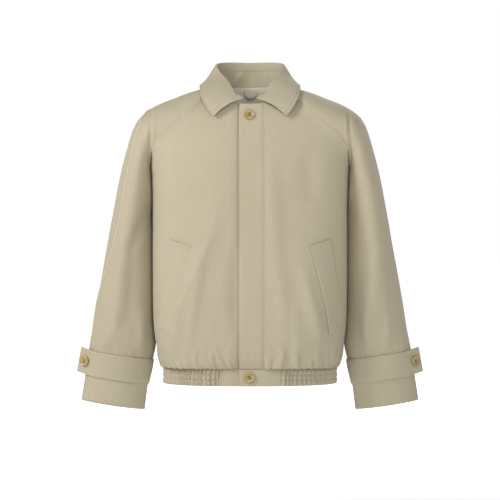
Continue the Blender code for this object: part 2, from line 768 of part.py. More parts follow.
def place_button(name, mesh, point, facing, parts):
    """Button whose back is a little in front of a point."""
    button = bpy.data.objects.new(name, mesh)
    button.rotation_euler = facing.to_track_quat("Z", "X").to_euler()
    button.location = point + facing.normalized() * BUTTON_STAND_OFF
    parts.objects.link(button)


def make_buttons(horn, parts):
    """Neck and hem buttons on the placket, and one on each cuff strap."""
    mesh = button_mesh(horn)
    neck = move_out(front_surface(BUTTON_X, NECK_BUTTON_Z), PLACKET_OUT)
    place_button("button_neck", mesh, neck, Vector((0.0, -1.0, 0.35)), parts)
    hem = band_point(band_angle(BUTTON_X), HEM_BUTTON_Z, PLACKET_OUT)
    place_button("button_hem", mesh, hem, Vector((0.0, -1.0, 0.0)), parts)
    middle_level = (STRAP_TOP_LEVEL + STRAP_BOTTOM_LEVEL) / 2
    for side, name in ((-1, "button_cuff_right"), (1, "button_cuff_left")):
        line = strap_line(middle_level)
        back = line[-1] - line[-2]
        point = line[-1] - back.normalized() * STRAP_BUTTON
        out = Vector((back.y, -back.x, 0.0))
        place_button(name, mesh, Vector((side * point.x, point.y, point.z)),
                     Vector((side * out.x, out.y, 0.0)), parts)


clear_scene()
jacket = bpy.data.collections.new("harrington_jacket")
bpy.context.scene.collection.children.link(jacket)
twill = finish("khaki_cotton_twill", CLOTH_COLOUR, 0.85)
facing_cloth = finish("neck_facing_cloth", FACING_COLOUR, 0.80)
button_horn = finish("button_horn", BUTTON_COLOUR, 0.35)

make_back(twill, jacket)
make_fronts(twill, jacket)
make_placket(twill, jacket)
make_sleeves(twill, jacket)
make_collar(twill, jacket)
make_neck_facing(facing_cloth, twill, jacket)
make_pocket_welts(twill, jacket)
make_cuff_straps(twill, jacket)
make_hem_tabs(twill, jacket)
make_hem_elastic(twill, jacket)
make_buttons(button_horn, jacket)
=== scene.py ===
"""Looks of a raglan harrington jacket, buttoned and filled out as worn.

Metres, +Z up, front towards -Y, the wearer's left towards +X. A level runs from
0 at the neckline to 1 at the hem or the cuff, and 0.53 is the underarm.
"""
import math

import bpy
import mathutils
import numpy as np
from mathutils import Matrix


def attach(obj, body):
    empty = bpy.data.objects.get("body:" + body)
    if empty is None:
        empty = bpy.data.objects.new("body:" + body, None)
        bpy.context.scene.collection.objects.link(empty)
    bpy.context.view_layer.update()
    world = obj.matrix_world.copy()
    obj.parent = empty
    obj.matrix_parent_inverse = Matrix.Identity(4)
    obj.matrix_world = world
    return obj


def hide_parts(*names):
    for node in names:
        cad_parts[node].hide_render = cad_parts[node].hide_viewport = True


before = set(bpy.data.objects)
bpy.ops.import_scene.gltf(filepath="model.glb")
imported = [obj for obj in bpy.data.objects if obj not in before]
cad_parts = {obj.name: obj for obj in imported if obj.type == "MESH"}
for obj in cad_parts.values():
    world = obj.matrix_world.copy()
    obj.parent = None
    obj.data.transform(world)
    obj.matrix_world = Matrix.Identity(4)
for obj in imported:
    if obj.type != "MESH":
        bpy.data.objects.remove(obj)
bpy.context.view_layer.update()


# ------------------
# Back: one piece of khaki cotton twill from side seam to side seam, cut to a
# raglan line above the underarm. Its hem is gathered into the elastic band.

CLOTH = 0.0010              # one layer of twill
SEAM = 0.0002               # gap between neighbouring pieces
TURN_IN = 0.0030            # seam allowance turned to the inside
UNDERARM = 0.53             # level of the underarm
SIDE_Y = -0.008             # depth at which the body is widest
BODY_POWER = 2.3            # squareness of the body from above, 2 is round
PRESSED_POWER = 3.0         # the same where the front is pressed along the side
PRESSED_LEVELS = (0.28, 0.14)           # level from which it is, and run over which that grows
BAND_TOP = -0.6093          # height of the seam with the hem band
MIRROR = np.array([-1.0, 1.0, 1.0])     # from the wearer's left to the right

FRONT_CENTRE = [            # level, z, depth
    (0.00, -0.042, 0.0880), (0.10, -0.065, 0.0980), (0.17, -0.085, 0.1060), (0.25, -0.113, 0.1160),
    (0.32, -0.138, 0.1230), (0.39, -0.168, 0.1280), (0.46, -0.203, 0.1320), (0.53, -0.240, 0.1340),
    (0.70, -0.378, 0.1360), (0.88, -0.523, 0.1375), (0.97, -0.588, 0.1350), (1.00, -0.609, 0.1290)]
BACK_CENTRE = [             # level, z, depth
    (0.00, 0.006, 0.0720), (0.10, -0.030, 0.0930), (0.17, -0.058, 0.1050), (0.25, -0.093, 0.1170),
    (0.32, -0.126, 0.1260), (0.39, -0.162, 0.1320), (0.46, -0.201, 0.1360), (0.53, -0.240, 0.1380),
    (0.70, -0.378, 0.1360), (0.88, -0.523, 0.1370), (0.97, -0.588, 0.1340), (1.00, -0.609, 0.1270)]
RAGLAN_FRONT = [            # level, x, y, z
    (0.00, 0.0780, -0.045, -0.0080), (0.10, 0.1220, -0.078, -0.0520), (0.17, 0.1490, -0.087, -0.0730),
    (0.25, 0.1880, -0.084, -0.1045), (0.32, 0.2080, -0.067, -0.1300), (0.39, 0.2140, -0.043, -0.1620),
    (0.46, 0.2145, -0.019, -0.2020), (0.53, 0.2132, -0.004, -0.2400)]
RAGLAN_BACK = [             # level, x, y, z
    (0.00, 0.0700, 0.046, 0.0050), (0.10, 0.1080, 0.088, -0.0300), (0.17, 0.1360, 0.104, -0.0580),
    (0.25, 0.1680, 0.111, -0.0930), (0.32, 0.1910, 0.106, -0.1280), (0.39, 0.2070, 0.086, -0.1640),
    (0.46, 0.2145, 0.048, -0.2040), (0.53, 0.2132, -0.004, -0.2400)]
SIDE = [                    # level, x, y, z
    (0.53, 0.2132, -0.004, -0.2400), (0.57, 0.2128, -0.004, -0.2700), (0.70, 0.2128, -0.004, -0.3780),
    (0.80, 0.2122, -0.004, -0.4600), (0.88, 0.2098, -0.004, -0.5230), (0.94, 0.2035, -0.004, -0.5660),
    (0.97, 0.1976, -0.004, -0.5880), (1.00, 0.1886, -0.004, -0.6090)]

BACK_FOLDS = [              # x and z of both ends, width, height
    (-0.060, -0.330, -0.120, -0.560, 0.026, 0.0065), (0.010, -0.300, -0.010, -0.540, 0.026, -0.0050),
    (0.070, -0.340, 0.110, -0.570, 0.024, 0.0060), (-0.150, -0.200, -0.080, -0.300, 0.030, -0.0035),
    (0.150, -0.210, 0.085, -0.310, 0.030, -0.0035)]
GATHER_PITCH = 0.0120       # spacing of the small pleats above the band
GATHER_HEIGHT = 0.0090
GATHER_REACH = 0.058
GATHER_SPREAD = 0.080       # distance over which a pleat grows to twice its width
GATHER_FOOT = 0.65          # share of its height that it keeps at the seam itself


def stretches(*parts):
    """Evenly spaced values over stretches that follow each other: first, last, count."""
    return np.unique(np.concatenate([np.linspace(*part) for part in parts]))


BODY_LEVELS = stretches((0.0, UNDERARM, 78), (UNDERARM, 0.90, 56), (0.90, 1.0, 34))


def read(table, column, at):
    """Smooth values of one column of a table, at values of its first column."""
    rows = np.array(table)
    keys, values = rows[:, 0], rows[:, column]
    slopes = np.empty_like(values)
    slopes[1:-1] = (values[2:] - values[:-2]) / (keys[2:] - keys[:-2])
    slopes[0] = (values[1] - values[0]) / (keys[1] - keys[0])
    slopes[-1] = (values[-1] - values[-2]) / (keys[-1] - keys[-2])
    at = np.clip(at, keys[0], keys[-1])
    low = np.clip(np.searchsorted(keys, at, side="right") - 1, 0, len(keys) - 2)
    span = keys[low + 1] - keys[low]
    t = (at - keys[low]) / span
    return (values[low] * (1 + 2 * t) * (1 - t) ** 2 + values[low + 1] * t * t * (3 - 2 * t)
            + span * (slopes[low] * t * (1 - t) ** 2 - slopes[low + 1] * t * t * (1 - t)))


def read_points(table, at, first=1):
    """Points whose x, y and z are three columns of a table, from a first one on."""
    return np.stack([read(table, first + axis, at) for axis in range(3)], axis=-1)


def power(value, exponent):
    return np.sign(value) * np.abs(value) ** exponent


def ramp(value, start, run):
    """Share of a run that a value has covered from a start. A negative run falls."""
    return np.clip((value - start) / run, 0.0, 1.0)


def arch(share):
    """Rise from 0 to 1 and fall back to 0 as a share goes from 0 to 1."""
    return np.sin(np.pi * np.clip(share, 0.0, 1.0))


def hump(distance, place=0.0, width=0.0009):
    """Bell that is 1 at a place. Negative, it is the valley that stitches pull in."""
    return np.exp(-((distance - place) / width) ** 2)


def quarter(share, squareness):
    """Depth of a squared quarter round of size 1 at a share of its width."""
    return (1 - share ** squareness) ** (1 / squareness)


def unit(vectors):
    return vectors / np.maximum(np.linalg.norm(vectors, axis=-1, keepdims=True), 1e-12)


def body_lines(levels, front, samples=160, pressed=False):
    """Lines round one half of the body, from the centre to the raglan or side seam.

    Pressed lines turn the corner to the side more sharply below the shoulder.
    """
    facing = -1.0 if front else 1.0
    centre = FRONT_CENTRE if front else BACK_CENTRE
    level = levels[:, None]
    raglan = read_points(RAGLAN_FRONT if front else RAGLAN_BACK, levels)
    edge = np.where(level < UNDERARM, raglan, read_points(SIDE, levels))
    centre_z, reach = read(centre, 1, level), read(centre, 2, level) - facing * SIDE_Y
    end = np.arccos(power(facing * (edge[:, 1:2] - SIDE_Y) / reach, BODY_POWER / 2))
    half_width = edge[:, :1] / np.sin(end) ** (2 / BODY_POWER)
    share = np.linspace(0.0, 1.0, samples)
    x = half_width * power(np.sin(end * share), 2 / BODY_POWER)
    depth = power(np.cos(end * share), 2 / BODY_POWER)
    if pressed:
        out = np.clip(x / half_width, 0.0, 1.0)
        fuller = quarter(out, PRESSED_POWER) - quarter(out, BODY_POWER)
        depth = depth + fuller * ramp(share, 1.0, -0.05) ** 0.5 * ramp(level, *PRESSED_LEVELS)
    z = centre_z + (edge[:, 2:] - centre_z) * share ** 2
    return np.stack([x, SIDE_Y + facing * reach * depth, z], axis=-1)


def lengths(lines):
    """Distance along each line, from its start to each of its points."""
    steps = np.linalg.norm(np.diff(lines, axis=1), axis=2)
    return np.concatenate([np.zeros((len(lines), 1)), np.cumsum(steps, axis=1)], axis=1)


def spans(points):
    """Distances along the rows of a sheet and down its columns."""
    return lengths(points), lengths(points.swapaxes(0, 1)).T


def follow(line, far, places):
    """Points of a line at distances along it."""
    return np.stack([np.interp(places, far, line[:, axis]) for axis in range(3)], axis=-1)


def lay(lines, count, start=None, end=None, gap=SEAM / 2, close=(0.0012,)):
    """Evenly spaced points along each line, from a start to an end distance.

    Without them a gap is left at either end. Points at a few close distances from
    both ends keep seams and stitching crisp.
    """
    along = lengths(lines)
    start = np.full(len(lines), gap) if start is None else start
    end = along[:, -1] - gap if end is None else end
    near = np.array((0.0,) + close)
    laid = []
    for line, far, first, last in zip(lines, along, start, end):
        inner = np.linspace(first + 2 * near[-1], last - 2 * near[-1], count)
        laid.append(follow(line, far, np.concatenate([first + near, inner, last - near[::-1]])))
    return np.array(laid)


def normals(points):
    """Outward directions of a sheet whose rows run down and columns to the right."""
    return unit(np.cross(np.gradient(points, axis=0), np.gradient(points, axis=1)))


def raised(points, height):
    """Sheet raised outwards by a height at each of its points."""
    return points + normals(points) * height[..., None]


def fold_height(points, folds):
    """Height of soft folds, each from one x and z to another, at the points of a sheet."""
    x, z = points[..., 0], points[..., 2]
    height = np.zeros_like(x)
    for x1, z1, x2, z2, width, rise in folds:
        run = np.array([x2 - x1, z2 - z1])
        along = ((x - x1) * run[0] + (z - z1) * run[1]) / (run @ run)
        across = np.hypot(x - x1 - run[0] * along, z - z1 - run[1] * along)
        height += rise * hump(across, 0.0, width) * arch(along) ** 0.7
    return height


def gathers(along, away, pitch, reach, seed):
    """Height, up to 1, of the uneven round pleats that fan out from a gathered seam.

    They draw in a little over the last three millimetres before it.
    """
    draw = np.random.default_rng(seed)
    height = np.zeros_like(along)
    place = along.min()
    while place < along.max():
        wide = pitch * draw.uniform(0.55, 1.45)
        size, lean, length = draw.uniform(0.4, 1.0), draw.normal(0.0, 0.14), reach * draw.uniform(0.25, 1.0)
        share = (along - place - lean * away) / (wide * (1 + away / GATHER_SPREAD))
        height = np.maximum(height, size * arch(share) ** 0.8 * ramp(away, length, -length))
        place += wide
    return height * np.clip(GATHER_FOOT + away / 0.009, 0.0, 1.0)


def band_pleats(points, seed):
    """Height of the pleats of a panel that is gathered into the hem band."""
    above = np.maximum(points[..., 2] - BAND_TOP, 0.0)
    return GATHER_HEIGHT * gathers(lengths(points), above, GATHER_PITCH, GATHER_REACH, seed)


def turn_in(points, left=True, right=True):
    """Add the seam allowances, turned to the inside along the sides of a sheet."""
    inward = -normals(points) * TURN_IN
    parts = [points]
    if left:
        parts.insert(0, (points[:, 0] + inward[:, 0])[:, None])
    if right:
        parts.append((points[:, -1] + inward[:, -1])[:, None])
    return np.concatenate(parts, axis=1)


def linear(code):
    """Linear colour of an sRGB hex value."""
    parts = [int(code[i:i + 2], 16) / 255 for i in (1, 3, 5)]
    return tuple(c / 12.92 if c <= 0.04045 else ((c + 0.055) / 1.055) ** 2.4 for c in parts) + (1.0,)


def add_node(tree, kind, inputs, **settings):
    """Add a node with its settings, and set or link its inputs."""
    new = tree.nodes.new("ShaderNode" + kind)
    for key, value in settings.items():
        setattr(new, key, value)
    for key, value in inputs.items():
        if isinstance(value, bpy.types.NodeSocket):
            tree.links.new(value, new.inputs[key])
        else:
            new.inputs[key].default_value = value
    return new


def new_material(name, values):
    """Material with values on its shader's sockets: with its node tree, these sockets
    and the texture coordinates."""
    material = bpy.data.materials.new(name)
    material.use_nodes = True
    tree = material.node_tree
    shader = tree.nodes["Principled BSDF"].inputs
    for socket, value in values.items():
        shader[socket].default_value = value
    return material, tree, shader, add_node(tree, "TexCoord", {}).outputs


def cotton_twill(name, light, dark):
    """Cotton twill: matt and nearly even in tone, with faint slubs along the warp.

    The twill lines are 0.9 mm apart, about what two-fold yarn of this weight gives,
    and a slub is about 2 mm wide and some centimetres long.
    """
    material, tree, shader, place = new_material(name, {
        "Roughness": 0.86, "Specular IOR Level": 0.25, "Sheen Weight": 0.08, "Sheen Roughness": 0.5})
    turned = add_node(tree, "Mapping", {"Vector": place["UV"], "Rotation": (0.0, 0.0, math.radians(63))})
    twill = add_node(tree, "TexWave", {"Vector": turned.outputs[0], "Scale": 350.0, "Distortion": 1.2,
                                       "Detail": 2.0, "Detail Scale": 1.5}, bands_direction="X")
    yarn = add_node(tree, "TexNoise", {"Vector": place["UV"], "Scale": 900.0, "Detail": 2.0})
    warp = add_node(tree, "Mapping", {"Vector": place["UV"], "Scale": (1.0, 0.05, 1.0)})
    slub = add_node(tree, "TexNoise", {"Vector": warp.outputs[0], "Scale": 420.0, "Detail": 3.0,
                                       "Roughness": 0.6})
    tone = add_node(tree, "TexNoise", {"Vector": place["Object"], "Scale": 4.0, "Detail": 2.0})
    both = add_node(tree, "Math", {0: slub.outputs["Fac"], 1: tone.outputs["Fac"]}, operation="ADD")
    spread = add_node(tree, "MapRange", {"Value": both.outputs[0], "From Min": 0.65, "From Max": 1.35})
    colour = add_node(tree, "Mix", {0: spread.outputs[0], 6: linear(dark), 7: linear(light)},
                      data_type="RGBA")
    threads = add_node(tree, "MapRange", {"Value": twill.outputs["Fac"], "To Min": 0.95, "To Max": 1.02})
    shaded = add_node(tree, "Mix", {0: 1.0, 6: colour.outputs[2], 7: threads.outputs[0]},
                      data_type="RGBA", blend_type="MULTIPLY")
    tree.links.new(shaded.outputs[2], shader["Base Color"])
    crumple = add_node(tree, "TexNoise", {"Vector": place["Object"], "Scale": 13.0, "Detail": 3.0,
                                          "Roughness": 0.45, "Distortion": 0.3})
    soft = add_node(tree, "Bump", {"Strength": 1.0, "Distance": 0.0016, "Height": crumple.outputs["Fac"]})
    weave = add_node(tree, "Math", {0: twill.outputs["Fac"], 1: yarn.outputs["Fac"]}, operation="ADD")
    fine = add_node(tree, "Bump", {"Strength": 0.5, "Distance": 0.00006, "Height": weave.outputs[0],
                                   "Normal": soft.outputs[0]})
    tree.links.new(fine.outputs[0], shader["Normal"])
    return material


twill = cotton_twill("khaki_cotton_twill", "#B2A891", "#A99F87")


def dress(piece, material, slot, *nodes):
    """Give a piece its material and its place on the frame."""
    piece.data.materials.clear()
    piece.data.materials.append(material)
    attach(piece, "root")
    if nodes:
        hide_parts(*nodes)
    return piece


def cloth_piece(name, points, thickness, node, material=twill, slot="khaki_cotton_twill"):
    """Grid primitive laid on rows of points, thickened on its inner side and dressed.

    Rows run down and columns to the right as seen from outside. The UV map holds
    real sizes in metres.
    """
    tall, wide = points.shape[:2]
    bpy.ops.object.select_all(action="DESELECT")
    bpy.ops.mesh.primitive_grid_add(x_subdivisions=wide - 1, y_subdivisions=tall - 1, size=1.0)
    piece = bpy.context.object
    piece.name = piece.data.name = name
    mesh = piece.data
    mesh.vertices.foreach_set("co", points[::-1].ravel())
    across, down = spans(points)
    corners = np.empty(len(mesh.loops), dtype=np.int32)
    mesh.loops.foreach_get("vertex_index", corners)
    flat = np.stack([across - across[:, -1:] / 2, -down], axis=-1)[::-1].reshape(-1, 2)
    mesh.uv_layers.active.data.foreach_set("uv", flat[corners].ravel())
    mesh.update()
    mesh.shade_smooth()
    wall = piece.modifiers.new("Wall", "SOLIDIFY")
    wall.thickness = thickness
    wall.offset = -1.0
    bpy.ops.object.modifier_apply(modifier=wall.name)
    return dress(piece, material, slot, node)


half = body_lines(BODY_LEVELS, False)
left_half = lay(half, 62)[:, 2:]
points = np.concatenate([left_half[:, ::-1], half[:, :1], left_half * MIRROR], axis=1)
points = raised(points, fold_height(points, BACK_FOLDS) + band_pleats(points, 3))
back = cloth_piece("back_panel", turn_in(points), CLOTH, "back")


# ------------------
# Fronts: two pieces of the same twill. The left one is sewn to the fly placket,
# and the right one runs under it.

OVERLAP_X = -0.0227         # free edge of the placket
PLACKET_SEAM_X = 0.0300
UNDER_X = 0.0180            # edge of the right front, under the placket
UNDER_IN = 0.0024           # how far the right front sinks under the placket
UNDER_BLEND = 0.0200
FRONT_FOLDS = [             # x and z of both ends, width, height
    (-0.066, -0.270, -0.158, -0.520, 0.021, 0.0064), (-0.150, -0.470, -0.174, -0.600, 0.017, 0.0080),
    (-0.100, -0.370, -0.138, -0.590, 0.012, 0.0045), (-0.034, -0.340, -0.034, -0.550, 0.013, -0.0045),
    (-0.112, -0.300, -0.190, -0.450, 0.024, -0.0026), (-0.185, -0.430, -0.192, -0.560, 0.012, 0.0040),
    (0.042, -0.150, 0.058, -0.440, 0.018, 0.0055), (0.056, -0.390, 0.100, -0.580, 0.017, 0.0058),
    (0.110, -0.390, 0.156, -0.560, 0.014, 0.0065), (0.126, -0.140, 0.128, -0.260, 0.020, -0.0040),
    (0.078, -0.430, 0.090, -0.590, 0.012, -0.0040), (-0.072, -0.310, -0.176, -0.535, 0.007, 0.0022)]
OVERARM = [                 # level, x, y, z, depth before it, depth behind it
    (0.00, 0.0850, 0.002, 0.0030, 0.047, 0.045), (0.10, 0.1340, 0.003, -0.0105, 0.081, 0.086),
    (0.17, 0.1690, 0.004, -0.0240, 0.091, 0.101), (0.25, 0.2072, 0.006, -0.0395, 0.093, 0.107),
    (0.32, 0.2362, 0.008, -0.0592, 0.090, 0.107), (0.39, 0.2558, 0.010, -0.0880, 0.088, 0.104),
    (0.46, 0.2703, 0.011, -0.1320, 0.087, 0.097), (0.53, 0.2857, 0.012, -0.1920, 0.086, 0.090),
    (0.60, 0.2995, 0.014, -0.2620, 0.084, 0.086), (0.70, 0.3199, 0.014, -0.3740, 0.078, 0.080),
    (0.78, 0.3345, 0.014, -0.4580, 0.071, 0.073), (0.845, 0.3455, 0.014, -0.5300, 0.063, 0.065),
    (0.89, 0.3548, 0.014, -0.5755, 0.055, 0.057), (0.945, 0.3635, 0.014, -0.6300, 0.048, 0.050),
    (1.00, 0.3722, 0.014, -0.6855, 0.043, 0.045)]
SLEEVE_INNER = [            # level, x, y, z
    (0.53, 0.2132, -0.004, -0.2400), (0.57, 0.2136, 0.010, -0.2795), (0.62, 0.2136, 0.014, -0.3290),
    (0.70, 0.2134, 0.014, -0.4080), (0.78, 0.2122, 0.014, -0.4875), (0.845, 0.2078, 0.014, -0.5515),
    (0.89, 0.2145, 0.014, -0.5960), (0.945, 0.2250, 0.014, -0.6510), (1.00, 0.2322, 0.014, -0.7065)]
BRIDGE = 0.014              # reach of the cloth that lies smoothly across the raglan seam
BRIDGE_STEEPEST = 0.8       # slope past which the hollow under it grows no deeper
BRIDGE_LEVELS = ((0.02, 0.08), (0.44, -0.10))       # level at which it starts or ends, and run
EDGE_GAP = 0.0026           # dip of the right front just beside the free edge of the placket
EDGE_GAP_PLACE = 0.0012     # how far outside that edge it is deepest
EDGE_GAP_WIDTH = 0.0022


def across_to(lines, x):
    """Distance along each line at which it reaches an x."""
    along = lengths(lines)
    return np.array([np.interp(x, line[:, 0], far) for line, far in zip(lines, along)])


def sinking(x):
    """How far the right front has sunk under the placket at an x, as a share."""
    share = ramp(x, OVERLAP_X - UNDER_BLEND, UNDER_BLEND)
    return share * share * (3 - 2 * share)


def sleeve_lines(levels, front, samples=120):
    """Lines round a sleeve half, from the inner or raglan seam to the overarm."""
    facing = -1.0 if front else 1.0
    outer = read_points(OVERARM, levels)
    depth = read(OVERARM, 4 if front else 5, levels)[:, None]
    raglan = read_points(RAGLAN_FRONT if front else RAGLAN_BACK, levels)
    inner = np.where(levels[:, None] < UNDERARM, raglan, read_points(SLEEVE_INNER, levels))
    sine = np.clip(facing * (inner[:, 1:2] - outer[:, 1:2]) / depth, 0.0, 1.0)
    start = np.pi - np.arcsin(sine)
    bulge = facing * depth * (0.0, 1.0, 0.0)
    reach = (outer - inner + bulge * np.sin(start)) / (1 - np.cos(start))
    angle = (start * np.linspace(1.0, 0.0, samples))[..., None]
    return (outer - reach)[:, None] + reach[:, None] * np.cos(angle) + bulge[:, None] * np.sin(angle)


def bridge(levels, from_seam):
    """Shift that lays the cloth smoothly across the raglan seam, for the wearer's left.

    Without it the front and the sleeve meet in a hollow, which here stays only
    from the fold in front of the underarm down.
    """
    body, sleeve = body_lines(levels, True)[:, -6:], sleeve_lines(levels, True)[:, :6]
    one, other = normals(body)[:, -2], normals(sleeve)[:, 1]
    middle = unit(one + other)
    slope = np.tan(np.arccos(np.clip((one * middle).sum(axis=1), 0.0, 1.0)))
    slope *= ramp(levels, *BRIDGE_LEVELS[0]) * ramp(levels, *BRIDGE_LEVELS[1])
    rise = BRIDGE * np.minimum(slope, BRIDGE_STEEPEST)[:, None] * np.exp(-from_seam / BRIDGE)
    return rise[..., None] * middle[:, None]


front_half = body_lines(BODY_LEVELS, True, pressed=True)
front_whole = np.concatenate([front_half[:, :0:-1] * MIRROR, front_half], axis=1)

points = lay(front_half, 56, start=across_to(front_half, PLACKET_SEAM_X + SEAM))
across = lengths(points)
points = raised(points, fold_height(points, FRONT_FOLDS) + band_pleats(points, 5))
points += bridge(BODY_LEVELS, across[:, -1:] - across)
front_left = cloth_piece("front_panel_left", turn_in(points, left=False), CLOTH, "front_left")

points = lay(front_whole, 110, end=across_to(front_whole, UNDER_X), gap=0.0)
across = lengths(points)
sink = sinking(points[..., 0])
height = fold_height(points, FRONT_FOLDS) - UNDER_IN * sink
height -= EDGE_GAP * hump(points[..., 0], OVERLAP_X - EDGE_GAP_PLACE, EDGE_GAP_WIDTH)
height += band_pleats(points, 8) * (1 - sink)
points = raised(points, height) + bridge(BODY_LEVELS, across) * MIRROR
front_right = cloth_piece("front_panel_right", points, CLOTH, "front_right")


# ------------------
# Fly placket: a folded strip of twill over the right front, sewn to the left
# front along its other edge and topstitched beside that seam.

PLACKET_OUT = 0.0012
PLACKET_RISE = 0.006        # width beside the seam over which it comes out
PLACKET_STITCH = 0.0026     # stitching beside the seam
PLACKET_DIP = 0.0004        # how far it pulls the cloth in
PLACKET_EDGE = 0.0006       # how far the free edge is pressed down

points = lay(front_whole, 14, start=across_to(front_whole, OVERLAP_X),
             end=across_to(front_whole, PLACKET_SEAM_X), close=(0.0008, 0.0017, 0.0026, 0.0035, 0.0046))
across = lengths(points)
to_seam = across[:, -1:] - across
height = fold_height(points, FRONT_FOLDS) + PLACKET_OUT * ramp(to_seam, 0.0, PLACKET_RISE)
height -= PLACKET_DIP * hump(to_seam, PLACKET_STITCH) + PLACKET_EDGE * hump(across, 0.0, 0.0010)
placket = cloth_piece("fly_placket", turn_in(raised(points, height)), CLOTH, "placket")


# ------------------
# Sleeves: a front and a back half each, of the same twill, joined underarm and
# along the overarm by a felled seam that lies a little to the front.

SIDES = ((-1, "right"), (1, "left"))
STRAP_TOP_LEVEL = 0.890
STRAP_BOTTOM_LEVEL = 0.945
SLEEVE_LENGTH = 0.75        # from level 0 to level 1, about
FULLNESS = 0.004            # how far the sleeve swells over the strap
FULLNESS_RUN = 0.06         # levels over which it does
PUCKER_PITCH = 0.014        # small pleats where the strap draws the sleeve in
PUCKER_HEIGHT = 0.0022
PUCKER_REACH = 0.030
SLEEVE_FOLDS = {            # x and z of both ends, width, height; the first two only in front
    -1: [(0.2135, -0.050, 0.2145, -0.190, 0.0045, -0.0040), (0.2075, -0.055, 0.2085, -0.140, 0.004, 0.0020),
         (0.214, -0.260, 0.262, -0.370, 0.014, -0.0060),
         (0.250, -0.340, 0.262, -0.530, 0.018, -0.0055), (0.258, -0.230, 0.298, -0.530, 0.016, 0.0040),
         (0.284, -0.470, 0.306, -0.572, 0.014, 0.0045), (0.232, -0.480, 0.240, -0.590, 0.010, 0.0040),
         (0.318, -0.530, 0.322, -0.585, 0.006, 0.0022), (0.296, -0.535, 0.299, -0.590, 0.005, -0.0018)],
    1: [(0.2135, -0.050, 0.2145, -0.190, 0.0045, -0.0040), (0.2075, -0.055, 0.2085, -0.140, 0.004, 0.0015),
        (0.256, -0.180, 0.281, -0.380, 0.018, 0.0045),
        (0.280, -0.340, 0.254, -0.530, 0.018, 0.0045), (0.300, -0.310, 0.320, -0.520, 0.014, -0.0045),
        (0.244, -0.490, 0.263, -0.580, 0.013, 0.0045), (0.236, -0.280, 0.252, -0.450, 0.012, -0.0040),
        (0.300, -0.500, 0.294, -0.580, 0.009, 0.0030)]}
OVERARM_RIDGE = {-1: 0.0034, 1: 0.0010}             # height of the felled seam
OVERARM_WIDTH = 0.0032
OVERARM_STEP = {"front": 1.0, "back": 0.25}         # share of it on each half, it lies on the front
RIDGE_LEVELS = ((0.26, 0.08), (0.90, -0.08))        # level at which it starts or ends, and run
OVERARM_STITCH = 0.0012     # stitching beside that seam
RAGLAN_DIP = {-1: 0.0000, 1: 0.0006}                # how far the raglan seam is pulled in
RAGLAN_WIDTH = 0.0022
PRESS = 0.019               # how far the sleeve comes forward where it lies along the body
PRESS_REACH = 0.013         # how far from the underarm seam it does so most
PRESS_LEVELS = ((0.40, 0.10), (0.88, -0.20))        # level at which it starts or ends, and run
SEAM_INSET = {              # level, distance of the overarm seam from the edge of the sleeve
    -1: [(0.00, 0.0), (0.28, 0.0), (0.36, 0.008), (0.425, 0.0125), (0.485, 0.0165), (0.545, 0.019),
         (0.60, 0.021), (0.65, 0.019), (0.70, 0.0145), (0.783, 0.002), (0.85, 0.0), (1.00, 0.0)],
    1: [(0.00, 0.0), (0.30, 0.0), (0.45, 0.003), (0.60, 0.004), (0.75, 0.001), (1.00, 0.0)]}
SLEEVE_LEVELS = stretches((0.0, UNDERARM, 80), (UNDERARM, 0.82, 56), (0.82, 0.90, 30), (0.90, 1.0, 22))


def points_at(lines, distance):
    """Point of each line at a distance from its start, or from its end if negative."""
    along = lengths(lines)
    places = np.broadcast_to(distance if distance >= 0 else along[:, -1] + distance, len(lines))
    return np.array([follow(line, far, place) for line, far, place in zip(lines, along, places)])


def mirrored(points):
    """Sheet of the wearer's left as one of the wearer's right."""
    return points[:, ::-1] * MIRROR


sleeve_front = sleeve_lines(SLEEVE_LEVELS, True)
sleeve_back = sleeve_lines(SLEEVE_LEVELS, False)
sleeve_ring = np.concatenate([sleeve_front, sleeve_back[:, -2::-1]], axis=1)
ring_length = lengths(sleeve_ring)[:, :sleeve_front.shape[1]]
level = SLEEVE_LEVELS[:, None]
swell = FULLNESS * arch((STRAP_TOP_LEVEL - level) / FULLNESS_RUN)
seen = ramp(level, *RIDGE_LEVELS[0]) * ramp(level, *RIDGE_LEVELS[1])
beside_body = ramp(level, *PRESS_LEVELS[0]) * ramp(level, *PRESS_LEVELS[1])

